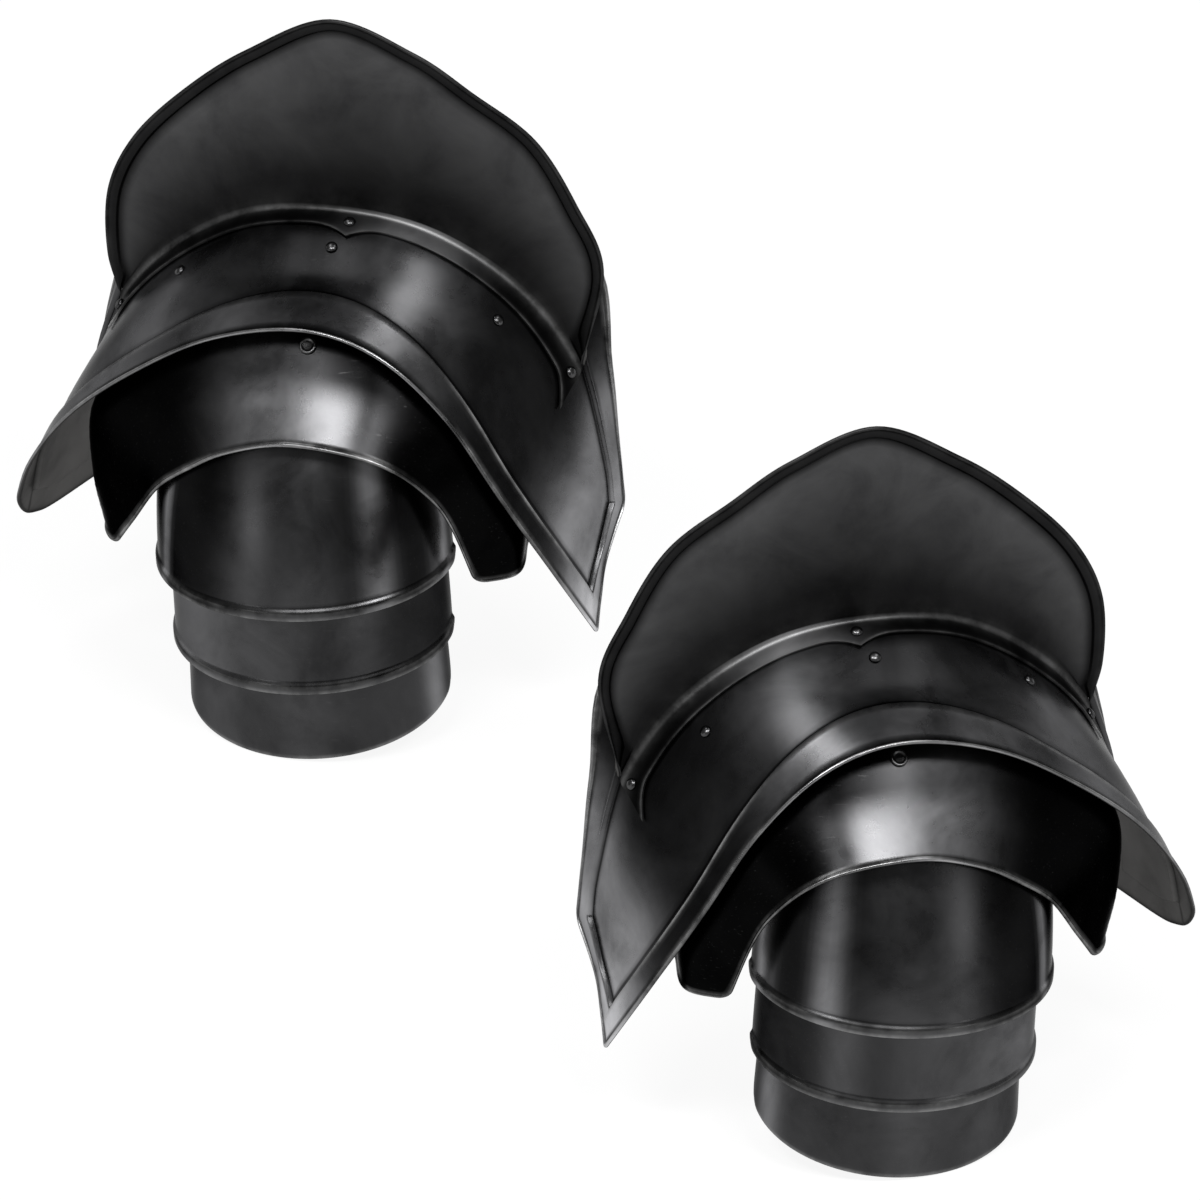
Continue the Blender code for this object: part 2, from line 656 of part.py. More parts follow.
def shoulder_plate_grids():
    border = border_bands(SHOULDER_BORDER, SHOULDER_BORDER_SLOPE)
    band = hem_bands() + border
    points, sides = surface_grid(
        shoulder_surface, (band, band, band, band), even_shares(SHOULDER_COLUMN_COUNT),
        SHOULDER_ROW_SHARES,
        (SHOULDER_NECK_CORNER, SHOULDER_NECK_CORNER, SHOULDER_BACK_CORNER,
         SHOULDER_FRONT_CORNER))
    edge = np.minimum.reduce(sides)
    depth = border_depth(
        edge, SHOULDER_BORDER, SHOULDER_BORDER_SLOPE, SHOULDER_BORDER_RISE)[..., None]
    normal = grid_normals(points)
    outer = points + normal * (depth + hem_height(edge)[..., None])
    return outer, points + normal * (depth - SHEET)


def arch_lame_grids():
    hem = hem_bands()
    points, sides = surface_grid(
        arch_surface, (hem, hem, [0.0], hem), even_shares(ARCH_COLUMN_COUNT),
        even_shares(ARCH_ROW_COUNT), (0.0, 0.0, ARCH_CORNER, ARCH_CORNER))
    edge = np.minimum.reduce([sides[0], sides[1], sides[3]])
    normal = grid_normals(points)
    return points + normal * hem_height(edge)[..., None], points - normal * SHEET


def arm_lame_grids(lame):
    corner = [ARM_CORNER * share for share in ARM_CORNER_STATION_SHARES]
    lowest = lame == len(ARM_FRONTS) - 1
    lip = [] if lowest else border_bands(ARM_LIP, ARM_LIP_SLOPE)
    points, sides = surface_grid(
        ARM_SURFACES[lame], (corner, corner, [0.0], [0.0] + lip),
        even_shares(ARM_COLUMN_COUNT), even_shares(ARM_ROW_COUNT), (0.0, 0.0, ARM_CORNER, ARM_CORNER))
    normal = grid_normals(points)
    depth = np.zeros(points.shape[:2] + (1,))
    if not lowest:
        depth = border_depth(sides[3], ARM_LIP, ARM_LIP_SLOPE, ARM_LIP_RISE)[..., None]
    return points + normal * depth, points + normal * (depth - SHEET)


def flange_width(share):
    """Width of the flange along the crease: a cusp at the middle, tails at the ends."""
    cusp = np.clip(1 - np.abs(share - 0.5) / HAUTE_CUSP_REACH_SHARE, 0, 1) ** 2
    end = np.minimum(share, 1 - share)
    tail = np.clip(1 - end / HAUTE_TAIL_REACH_SHARE, 0, 1) ** 2
    return HAUTE_FLANGE + HAUTE_CUSP * cusp + HAUTE_TAIL * tail


def crease_share(share):
    return HAUTE_START_SHARE + (HAUTE_END_SHARE - HAUTE_START_SHARE) * share


def flange_point(share, down_by, lift):
    """Point on the flange at a distance below the crease."""
    u, v = moved(shoulder_surface, crease_share(share), SHOULDER_CREASE_V, 0.0, down_by)
    normal = surface_normal(shoulder_surface, u, v)
    return shoulder_surface(u, v) + normal * (lift - SHOULDER_BORDER_RISE)


def haute_piece_grids():
    shares = np.linspace(0, 1, HAUTE_COLUMN_COUNT)
    outline = net_point(HAUTE_NET, shares, 0.0)
    lift = HAUTE_SEAT + SHEET
    crease = np.array([flange_point(share, 0.0, lift) for share in shares])
    tangent = unit(np.gradient(outline, axis=0))
    rays = crease - outline
    lengths = np.linalg.norm(rays, axis=1)
    slant = np.linalg.norm(np.cross(tangent, unit(rays)), axis=1)
    bands = hem_bands() + border_bands(HAUTE_BORDER, HAUTE_BORDER_SLOPE)
    wanted = np.array(bands)[:, None] / slant
    room = (lengths - HAUTE_BEND) * HAUTE_SHORTEST_SHARE
    wanted = wanted * np.minimum(1, room / wanted[-1])
    inner = np.linspace(0, 1, HAUTE_ROW_COUNT + 2)[1:, None]
    upright = np.concatenate([
        wanted, wanted[-1] + (lengths - HAUTE_BEND - wanted[-1]) * inner])
    rows = [outline + rays * (run / lengths)[:, None] for run in upright]
    widths = flange_width(shares)
    bend = np.array([flange_point(share, HAUTE_BEND, lift) for share in shares])
    rows.append((rows[-1] + 2 * crease + bend) / 4)
    rows.append(bend)
    for part in (0.5, 1.0):
        rows.append(np.array([
            flange_point(share, HAUTE_BEND + (width - HAUTE_BEND) * part, lift)
            for share, width in zip(shares, widths)]))
    points = np.stack(rows)
    edge = np.full(points.shape[:2], HAUTE_RISE)
    edge[:len(upright)] = np.array(upright) * slant
    squeeze = np.minimum(1, room / (np.array(bands)[-1] / slant))
    edge[:len(bands)] = np.array(bands)[:, None]
    edge[len(bands):len(upright)] = np.maximum(
        edge[len(bands):len(upright)] / squeeze, bands[-1])
    depth = border_depth(edge, HAUTE_BORDER, HAUTE_BORDER_SLOPE, HAUTE_BORDER_RISE)
    depth[len(upright):] = 0.0
    normal = grid_normals(points)
    outer = points + normal * (depth + hem_height(edge))[..., None]
    return outer, points + normal * (depth[..., None] - SHEET)


def arm_sink(lame):
    return 0.0 if lame == len(ARM_FRONTS) - 1 else ARM_LIP_RISE


def arm_rivet_spots(lame):
    """Shares of the three leather rivets near a lame's top edge."""
    spots = []
    for degrees in ARM_RIVET_DEGS:
        u = np.array(0.5 + degrees / (2 * ARM_WRAP_DEG))
        spots.append(moved(ARM_SURFACES[lame], u, np.array(0.0), 0.0, ARM_RIVET_INSET))
    return spots


def arch_rivet_spots():
    return [moved(arch_surface, np.array(u), np.array(0.0), 0.0, ARCH_RIVET_INSET)
            for u in ARCH_RIVET_SHARES]


def haute_rivet_spots():
    spots = []
    for share, inset in zip(HAUTE_RIVET_SHARES, HAUTE_RIVET_INSETS):
        u, v = moved(shoulder_surface, crease_share(share), SHOULDER_CREASE_V, 0.0, inset)
        spots.append(spot_on(shoulder_surface, u, v, SHEET + HAUTE_SEAT - SHOULDER_BORDER_RISE))
    return spots


def collar_hole_spots():
    """Two holes at the neck side, laced to the wearer's collar."""
    spots = []
    for across in (-COLLAR_HOLE_SPREAD, COLLAR_HOLE_SPREAD):
        u, v = moved(
            shoulder_surface, np.array(0.5), np.array(0.0), across, COLLAR_HOLE_INSET)
        spots.append(spot_on(shoulder_surface, u, v, -SHOULDER_BORDER_RISE))
    return spots


STAGE_NAMES = ("shoulder_plate", "arch_lame", "arm_lame_1", "arm_lame_2", "arm_lame_3")
STAGE_SURFACES = [shoulder_surface, arch_surface] + ARM_SURFACES
STAGE_SINKS = [SHOULDER_BORDER_RISE, 0.0] + [arm_sink(k) for k in range(len(ARM_FRONTS))]
LOWEST_STAGE = len(STAGE_NAMES) - 1
LOWEST_LAME = len(ARM_FRONTS) - 1
LEATHER_STOPS = [(), ()] + [
    [(ARM_TOPS[k] - ARM_FRONTS[k]) * share for share in shares]
    for k, shares in enumerate(LEATHER_STOP_SHARES)]
LEATHER_LINES = (("back", LOWEST_STAGE), ("middle", MIDDLE_LEATHER_JOINT_COUNT),
                 ("front", LOWEST_STAGE))


def under_face(stage, share, across, dive):
    """Point where a leather lies under a plate, off to one side of a share."""
    surface = STAGE_SURFACES[stage]
    u, v = moved(surface, *share, across, 0.0)
    depth = STAGE_SINKS[stage] + SHEET + LEATHER_ROOM + dive
    return surface(u, v) - surface_normal(surface, u, v) * depth


def leather_solid(shares, line, last_stage):
    """Leather from the shoulder plate down to the last plate it is riveted to."""
    stops = []
    for stage in range(last_stage + 1):
        surface = STAGE_SURFACES[stage]
        rivet_share = shares[stage][line]
        if stage > 0:
            stops.append((stage, (rivet_share[0], np.array(0.0)), LEATHER_DIVE))
        ends = [-LEATHER_LEAD] if stage == 0 else []
        below = [*ends, -LEATHER_SEAT, LEATHER_SEAT, *LEATHER_STOPS[stage]]
        if stage == last_stage:
            below = [-LEATHER_SEAT, LEATHER_SEAT, LEATHER_LEAD]
        for down_by in below:
            stops.append((stage, moved(surface, *rivet_share, 0.0, down_by), 0.0))
    rows = [[under_face(stage, share, across, dive)
             for across in (-LEATHER_WIDTH / 2, LEATHER_WIDTH / 2)]
            for stage, share, dive in stops]
    outer = np.array(rows)
    return solid_from_grids(outer, outer - grid_normals(outer) * LEATHER_THICKNESS)


def arm_ring(degrees, inset):
    """Point, tangent and outward normal on the strap's ring inside the lowest lame."""
    angle = math.radians(degrees)
    half_width = ARM_HALF_WIDTH - arm_inset(LOWEST_LAME)
    depth = ARM_DEPTH - arm_inset(LOWEST_LAME)
    point = np.array([
        half_width * math.sin(angle) + ARM_LAME_SHIFT * LOWEST_LAME,
        -depth * math.cos(angle), STRAP_HEIGHT_Z])
    tangent = unit(np.array([half_width * math.cos(angle), depth * math.sin(angle), 0.0]))
    normal = np.array([tangent[1], -tangent[0], 0.0])
    return point - normal * inset, tangent, normal


# Depths inside the lowest lame's face: the strap and the chape lie under the
# leathers' ends, and the buckle's bar lies between the chape's two layers
STRAP_INSET = SHEET + LEATHER_ROOM + LEATHER_THICKNESS + LEATHER_ROOM
BUCKLE_INSET = STRAP_INSET + CHAPE_THICKNESS + GAP / 2
CHAPE_LOOP_RADIUS = BUCKLE_BAR_RADIUS + GAP + CHAPE_THICKNESS / 2
STRAP_CLIMB = (CHAPE_LOOP_RADIUS + CHAPE_THICKNESS / 2 + GAP + STRAP_THICKNESS
               + STRAP_INSET - BUCKLE_INSET)
BUCKLE_POINT, BUCKLE_TANGENT, BUCKLE_NORMAL = arm_ring(BUCKLE_DEG, BUCKLE_INSET)


def ribbon(line, thickness):
    """Closed strip as wide as the strap, around a line in the ring's plane."""
    line = np.array(line)
    heading = unit(np.gradient(line, axis=0))
    sideways = np.stack([heading[:, 1], -heading[:, 0], 0 * heading[:, 0]], -1)
    half_width = np.array([0.0, 0.0, STRAP_WIDTH / 2])
    faces = []
    for face_line in (line + sideways * thickness / 2, line - sideways * thickness / 2):
        faces.append(np.stack([face_line + half_width, face_line - half_width], 1))
    return solid_from_grids(arm_to_shoulder(faces[0]), arm_to_shoulder(faces[1]))


def strap_rise(degrees):
    """How far the strap stands out as it climbs over the buckle's bar."""
    climbed = (BUCKLE_DEG + STRAP_CLIMB_DEG - degrees) / STRAP_CLIMB_DEG
    return STRAP_CLIMB * min(max(climbed, 0.0), 1.0)


def arm_strap_solid():
    """From the back rivet of the lowest lame round the arm and over the buckle's bar."""
    line = []
    for degrees in np.linspace(360 - STRAP_START_DEG, STRAP_END_DEG, STRAP_COLUMN_COUNT):
        inset = STRAP_INSET + STRAP_THICKNESS / 2 - strap_rise(degrees)
        line.append(arm_ring(degrees, inset)[0])
    return ribbon(line, STRAP_THICKNESS)


def chape_solid():
    """Leather folded round the buckle's bar, both ends on the front rivet."""
    approach = np.linspace(STRAP_START_DEG, BUCKLE_DEG - CHAPE_LEAD_DEG, CHAPE_COLUMN_COUNT)
    outer_inset = STRAP_INSET + CHAPE_THICKNESS / 2
    inner_inset = outer_inset + CHAPE_THICKNESS + GAP
    line = [arm_ring(degrees, outer_inset)[0] for degrees in approach]
    for degrees in np.linspace(-CHAPE_LOOP_DEG / 2, CHAPE_LOOP_DEG / 2, CHAPE_LOOP_STEP_COUNT):
        turn = math.radians(degrees)
        way = math.cos(turn) * BUCKLE_TANGENT - math.sin(turn) * BUCKLE_NORMAL
        line.append(BUCKLE_POINT + way * CHAPE_LOOP_RADIUS)
    line += [arm_ring(degrees, inner_inset)[0] for degrees in approach[::-1]]
    return ribbon(line, CHAPE_THICKNESS)


def in_buckle(along, out, across):
    """Point at distances from the middle of the buckle's bar."""
    local = BUCKLE_POINT + BUCKLE_TANGENT * along + BUCKLE_NORMAL * out
    return arm_to_shoulder(local + np.array([0.0, 0.0, across]))


def buckle_tilt():
    """Slope of the frame that carries its free bar clear over the strap."""
    free_bar_deg = BUCKLE_DEG + math.degrees(BUCKLE_LENGTH / ARM_DEPTH)
    strap_face = BUCKLE_INSET - STRAP_INSET + strap_rise(free_bar_deg)
    return math.asin((strap_face + 2 * GAP + BUCKLE_BAR_RADIUS) / BUCKLE_LENGTH)


def tube(centres, radius, sides, closed):
    """Round bar swept along points that lie in one plane."""
    centres = np.array(centres)
    count = len(centres)
    plane = unit(np.cross(centres[1] - centres[0], centres[2] - centres[1]))
    points = []
    for k in range(count):
        before = centres[k - 1] if closed or k > 0 else centres[k]
        after = centres[(k + 1) % count] if closed or k < count - 1 else centres[k]
        outward = unit(np.cross(unit(after - before), plane))
        for s in range(sides):
            turn = 2 * math.pi * s / sides
            points.append(centres[k] + radius * (
                math.cos(turn) * outward + math.sin(turn) * plane))
    faces = []
    for k in range(count if closed else count - 1):
        here = k * sides
        after = (k + 1) % count * sides
        for s in range(sides):
            t = (s + 1) % sides
            faces.append((here + s, here + t, after + t, after + s))
    if not closed:
        faces.append(tuple(range(sides)))
        faces.append(tuple(reversed(range((count - 1) * sides, count * sides))))
    return np.array(points), faces


def buckle_frame_solid():
    tilt = buckle_tilt()
    centres = []
    for quarter in range(4):
        far = quarter in (1, 2)
        positive = quarter in (2, 3)
        along = BUCKLE_LENGTH - BUCKLE_CORNER if far else BUCKLE_CORNER
        across = (BUCKLE_WIDTH / 2 - BUCKLE_CORNER) * (1 if positive else -1)
        for step in range(BUCKLE_CORNER_STEP_COUNT):
            turn = math.pi + (quarter + step / (BUCKLE_CORNER_STEP_COUNT - 1)) * math.pi / 2
            a = along + BUCKLE_CORNER * math.cos(turn)
            c = across + BUCKLE_CORNER * math.sin(turn)
            centres.append(in_buckle(a * math.cos(tilt), a * math.sin(tilt), c))
    return tube(centres, BUCKLE_BAR_RADIUS, BUCKLE_SIDE_COUNT, True)


def prong_solid():
    """Wire prong: an open eye round the bar and a shaft onto the free bar."""
    tilt = buckle_tilt()
    stand = BUCKLE_BAR_RADIUS + 2 * GAP + PRONG_RADIUS
    centres = []
    for degrees in np.linspace(PRONG_EYE_END_DEG, PRONG_EYE_TOP_DEG, PRONG_EYE_STEP_COUNT):
        turn = math.radians(degrees)
        centres.append(in_buckle(stand * math.cos(turn), stand * math.sin(turn), 0))
    along = BUCKLE_LENGTH * math.cos(tilt) + PRONG_OVERHANG
    centres.append(in_buckle(along, BUCKLE_LENGTH * math.sin(tilt) + stand, 0))
    return tube(centres, PRONG_RADIUS, BUCKLE_SIDE_COUNT, False)


def buckle_box(back, front, bottom, top, width):
    """Box along the buckle, for cutting the slots that the prong stands in."""
    corners = []
    for along in (-back, front):
        for out in (bottom, top):
            for across in (-width / 2, width / 2):
                corners.append(in_buckle(along, out, across))
    faces = [(0, 1, 3, 2), (4, 6, 7, 5), (0, 4, 5, 1), (2, 3, 7, 6), (0, 2, 6, 4),
             (1, 5, 7, 3)]
    return corners, faces


def leather_shares():
    """Surface shares of every plate's leather rivets, by stage and line."""
    shares = [[(np.array(u), np.array(v)) for u, v in SHOULDER_RIVET_SHARES]]
    shares.append(arch_rivet_spots())
    shares += [arm_rivet_spots(lame) for lame in range(len(ARM_FRONTS))]
    return shares


def leather_spots(shares):
    """Seats of the leather rivets: one list of spots for each stage."""
    spots = []
    for stage, surface in enumerate(STAGE_SURFACES):
        lines = [line for line, (name, last) in enumerate(LEATHER_LINES) if stage <= last]
        spots.append([spot_on(surface, *shares[stage][line], -STAGE_SINKS[stage])
                      for line in lines])
    return spots


def build_plates(side, spots):
    """The six plates; returns the hole cutter of each leather stage."""
    haute_spots = haute_rivet_spots()
    rivet_hole = RIVET_SHANK + GAP
    grids = [shoulder_plate_grids(), arch_lame_grids()]
    grids += [arm_lame_grids(lame) for lame in range(len(ARM_FRONTS))]
    plates = []
    cutters = []
    for stage, name in enumerate(STAGE_NAMES):
        plates.append(side.build(name, *solid_from_grids(*grids[stage]), name, STEEL_FINISH))
        drills = hole_cutters(spots[stage], rivet_hole, HOLE_SIDE_COUNT)
        cutters.append(side.cutter(name + "_holes", *drills, name))
        cut(plates[-1], cutters[-1])
    haute = side.build(
        "haute_piece", *solid_from_grids(*haute_piece_grids()), "haute_piece", STEEL_FINISH)
    haute_drills = side.cutter(
        "haute_holes", *hole_cutters(haute_spots, rivet_hole, HOLE_SIDE_COUNT), "haute_piece")
    cut(haute, haute_drills)
    cut(plates[0], haute_drills)
    collar_drills = hole_cutters(collar_hole_spots(), COLLAR_HOLE_RADIUS, COLLAR_HOLE_SIDE_COUNT)
    cut(plates[0], side.cutter("collar_holes", *collar_drills, STAGE_NAMES[0]))
    return cutters


def build_rivets(side, spots):
    leather_grip = SHEET + LEATHER_ROOM + LEATHER_THICKNESS
    end_grips = {"back": LEATHER_ROOM + STRAP_THICKNESS,
                 "front": LEATHER_ROOM + 2 * CHAPE_THICKNESS + GAP}
    for line_name, spot in zip(HAUTE_RIVET_NAMES, haute_rivet_spots()):
        side.rivet(f"haute_rivet_{line_name}", spot, "domed", 2 * (SHEET + HAUTE_SEAT), "haute_piece")
    for stage, stage_name in enumerate(STAGE_NAMES):
        lines = [name for name, last in LEATHER_LINES if stage <= last]
        for line_name, spot in zip(lines, spots[stage]):
            head = "domed" if stage == 0 else "flat"
            if stage_name == "arch_lame" and line_name == "middle":
                head = "disc"
            grip = leather_grip
            if stage == LOWEST_STAGE:
                grip += end_grips[line_name]
            side.rivet(f"{stage_name}_rivet_{line_name}", spot, head, grip, stage_name)


def build_leathers(side, shares, cutters):
    for line, (line_name, last_stage) in enumerate(LEATHER_LINES):
        piece = side.build(
            line_name + "_leather", *leather_solid(shares, line, last_stage),
            STAGE_NAMES[0], LEATHER_FINISH)
        for stage in range(last_stage + 1):
            cut(piece, cutters[stage])


def build_strap(side, cutters):
    lame = STAGE_NAMES[LOWEST_STAGE]
    strap = side.build("arm_strap", *arm_strap_solid(), lame, LEATHER_FINISH)
    cut(strap, cutters[LOWEST_STAGE])
    cut(strap, side.cutter("arm_strap_slot", *buckle_box(
        STRAP_SLOT_BACK, STRAP_SLOT_FRONT, STRAP_SLOT_BOTTOM, STRAP_SLOT_TOP,
        STRAP_SLOT_WIDTH), lame))
    chape = side.build("buckle_chape", *chape_solid(), lame, LEATHER_FINISH)
    cut(chape, cutters[LOWEST_STAGE])
    cut(chape, side.cutter("buckle_chape_slot", *buckle_box(
        CHAPE_SLOT_BACK, CHAPE_SLOT_FRONT, -CHAPE_SLOT_DEPTH, CHAPE_SLOT_DEPTH,
        CHAPE_SLOT_WIDTH), lame))
    side.build("buckle_frame", *buckle_frame_solid(), "buckle", RIVET_FINISH)
    side.build("buckle_prong", *prong_solid(), "buckle", RIVET_FINISH)


def build_side(side):
    side.axis("arch_lame", arm_to_shoulder(np.array([0.0, ARCH_AXIS_Y, ARCH_AXIS_Z])))
    for lame, (y, z) in enumerate(zip(ARM_AXES_Y, ARM_AXES_Z)):
        side.axis(f"arm_lame_{lame + 1}", arm_to_shoulder(np.array([0.0, y, z])))
    side.axis("buckle", in_buckle(0.0, 0.0, 0.0))
    shares = leather_shares()
    spots = leather_spots(shares)
    cutters = build_plates(side, spots)
    build_rivets(side, spots)
    build_leathers(side, shares, cutters)
    build_strap(side, cutters)


def main():
    right = Side("right", 1, (-PAULDRON_SPACING / 2, PAULDRON_STAGGER / 2, 0))
    left = Side("left", -1, (PAULDRON_SPACING / 2, -PAULDRON_STAGGER / 2, 0))
    for side in (right, left):
        build_side(side)


main()
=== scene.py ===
"""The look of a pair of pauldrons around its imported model.

Each node has a finer piece made from the same sizes: plates with rolled edges,
rivets, leathers, straps and buckles, in procedural steel and leather. A pale
floor, soft studio light and the camera stand round them. Metres, Z up.
"""
import math
from functools import cached_property

import bmesh
import bpy
import numpy as np
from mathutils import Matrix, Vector


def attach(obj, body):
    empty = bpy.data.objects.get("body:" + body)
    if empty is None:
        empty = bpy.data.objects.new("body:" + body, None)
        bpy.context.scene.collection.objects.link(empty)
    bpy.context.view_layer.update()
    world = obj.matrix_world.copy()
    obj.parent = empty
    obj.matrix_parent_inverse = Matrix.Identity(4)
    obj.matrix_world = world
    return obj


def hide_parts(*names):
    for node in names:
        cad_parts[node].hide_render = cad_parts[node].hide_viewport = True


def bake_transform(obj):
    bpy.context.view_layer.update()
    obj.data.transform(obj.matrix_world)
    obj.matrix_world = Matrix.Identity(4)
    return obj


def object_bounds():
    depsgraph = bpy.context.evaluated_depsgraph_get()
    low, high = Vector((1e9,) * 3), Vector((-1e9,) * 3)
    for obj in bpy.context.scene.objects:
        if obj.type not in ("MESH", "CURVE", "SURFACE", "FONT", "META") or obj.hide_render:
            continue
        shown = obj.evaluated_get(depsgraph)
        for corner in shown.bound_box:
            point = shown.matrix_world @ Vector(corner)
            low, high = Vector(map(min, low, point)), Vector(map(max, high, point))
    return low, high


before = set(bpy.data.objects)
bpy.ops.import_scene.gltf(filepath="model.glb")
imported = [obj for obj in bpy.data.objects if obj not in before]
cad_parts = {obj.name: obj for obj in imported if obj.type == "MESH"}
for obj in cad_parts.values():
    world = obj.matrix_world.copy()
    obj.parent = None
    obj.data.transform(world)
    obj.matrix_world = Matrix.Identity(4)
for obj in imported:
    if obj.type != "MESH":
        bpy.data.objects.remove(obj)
CAD_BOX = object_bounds()

# Fineness of the pieces shown; pairs are columns and rows between the bands
SAMPLES = np.linspace(0, 1, 361)
FINE_STEP = 0.0020
HEM_SHARES = (0.0, 0.02, 0.07, 0.15, 0.26, 0.38, 0.50, 0.62, 0.80, 1.0)
STEP_SHARES = (0.0, 0.2, 0.4, 0.6, 0.8, 1.0)
PLATE_FINE = (72, 26)
ARM_FINE = (64, 10)
HAUTE_FINE = (141, 20)
HAUTE_BEND_STEPS = 7
HAUTE_FLANGE_ROWS = 6
RIVET_SIDES = 32
WIRE_SIDES = 20
LEATHER_STEPS = 5
LEATHER_ACROSS = (-1.0, -0.96, -0.86, -0.5, 0.0, 0.5, 0.86, 0.96, 1.0)
LEATHER_ROUND = 0.0007
LEATHER_ROUND_POWER = 12
STRAP_FINE = 161
CHAPE_FINE = 31
LOOP_FINE = 25
BUCKLE_CORNER_FINE = 8
SHARP_DEG = 50.0
STEP_SHARE = 0.001
SMALLEST_MITRE_SHARE = 0.6

# Unevenness of hammered sheet
UNDULATION = 0.00010
UNDULATION_WAVES = 9
UNDULATION_LENGTHS = (0.030, 0.085)

# Layout of the pair
PAULDRON_YAW_DEG = 18.0
PAULDRON_SPACING = 0.3165
PAULDRON_STAGGER = 0.4837

# Sheet and fits
SHEET = 0.0014
GAP = 0.0003
HEM_WIDTH = 0.0030
HEM_RISE = 0.0009
HEM_PLACES = [HEM_WIDTH * share for share in HEM_SHARES]

# Driving sizes: half width and depth of the topmost arm lame, height of the
# shoulder plate above the arm axis, and height of the haute-piece above its foot.
# Below, a scale is half width, depth and height of a plate as shares of these
ARM_HALF_WIDTH = 0.0828
ARM_DEPTH = 0.0680
SHOULDER_HEIGHT = 0.1800
HAUTE_RISE = 0.1986

# Shoulder plate: four rails from the back end over the shoulder to the front tip
SHOULDER_SCALE = (ARM_HALF_WIDTH * 1.8116, ARM_DEPTH * 1.4706, SHOULDER_HEIGHT)
SHOULDER_NECK_SHARES = (
    (-1.00, 1.00, -0.12), (-1.00, 1.02, 0.18), (-0.97, 1.05, 0.46), (-0.86, 1.08, 0.72),
    (-0.52, 1.14, 0.88), (0.00, 1.18, 0.95), (0.52, 1.14, 0.89), (0.86, 1.10, 0.79),
    (0.94, 0.98, 0.50), (0.99, 0.87, 0.26), (1.03, 0.80, 0.09))
SHOULDER_CREASE_SHARES = (
    (-1.10, 0.62, -0.14), (-1.04, 0.68, 0.16), (-0.93, 0.74, 0.44), (-0.73, 0.73, 0.70),
    (-0.38, 0.65, 0.92), (0.00, 0.62, 0.985), (0.36, 0.66, 0.935), (0.68, 0.73, 0.755),
    (0.88, 0.77, 0.50), (0.98, 0.71, 0.22), (1.00, 0.60, -0.05))
SHOULDER_MIDDLE_SHARES = (
    (-1.13, 0.42, -0.12), (-1.06, 0.38, 0.165), (-0.92, 0.33, 0.42), (-0.70, 0.27, 0.64),
    (-0.36, 0.21, 0.81), (0.02, 0.19, 0.875), (0.34, 0.21, 0.83), (0.62, 0.25, 0.66),
    (0.83, 0.33, 0.38), (0.96, 0.42, 0.10), (1.00, 0.50, -0.155))
SHOULDER_ARCH_SHARES = (
    (-1.16, 0.22, -0.075), (-1.07, 0.08, 0.137), (-0.89, -0.06, 0.358),
    (-0.64, -0.17, 0.555), (-0.31, -0.23, 0.735), (0.04, -0.25, 0.812),
    (0.32, -0.24, 0.755), (0.56, -0.20, 0.575), (0.77, -0.10, 0.28), (0.93, 0.10, 0.0),
    (1.01, 0.40, -0.245))
CREASE_V = 1 / 3
BACK_CORNER = 0.017
FRONT_CORNER = 0.003
NECK_CORNER = 0.006

# Its stepped border, wider over the arm than at its ends
BORDER = 0.0155
BORDER_SLOPE = 0.0026
BORDER_RISE = 0.0026
BORDER_FLANK_EXTRA = 0.0010
BORDER_MIDDLE_EXTRA = 0.0185
BORDER_MIDDLE_PLACE = 0.50
BORDER_MIDDLE_WIDTH = 0.15
BORDER_END_FADE = 0.030
BORDER_FADE = 0.050

# Haute-piece: an upright guard standing on a flange along the crease rail; its
# outline runs from the back end over the peak to the front end
HAUTE_SCALE = (ARM_HALF_WIDTH * 1.7150, ARM_DEPTH * 1.1471, HAUTE_RISE)
HAUTE_FOOT_HEIGHT = SHOULDER_HEIGHT * 0.5422
HAUTE_OUTLINE_SHARES = (
    (-0.915, 0.99, 0.006), (-0.98, 1.03, 0.121), (-0.97, 0.99, 0.325), (-0.85, 0.91, 0.512),
    (-0.63, 0.81, 0.694), (-0.37, 0.72, 0.854), (-0.02, 0.64, 1.000), (0.30, 0.72, 0.918),
    (0.52, 0.81, 0.804), (0.75, 0.91, 0.669), (0.90, 0.99, 0.476), (1.00, 1.03, 0.277),
    (0.92, 0.99, 0.0))
HAUTE_START_SHARE = 0.230
HAUTE_END_SHARE = 0.795
HAUTE_FLANGE = 0.0120
HAUTE_SEAT = 0.0006
HAUTE_CUSP = 0.0070
HAUTE_CUSP_REACH_SHARE = 0.07
HAUTE_TAIL = 0.0080
HAUTE_TAIL_REACH_SHARE = 0.05
HAUTE_BORDER = 0.0072
HAUTE_BORDER_SLOPE = 0.0014
HAUTE_BORDER_RISE = 0.0014
HAUTE_BORDER_FADE_ROWS = 3
HAUTE_BEND = 0.0030
HAUTE_SHORTEST_SHARE = 0.80

# The arm plates hang canted from the shoulder, their lower ends forward
ARM_CANT = math.radians(4.0)
ARM_LAME_SHIFT = 0.0015

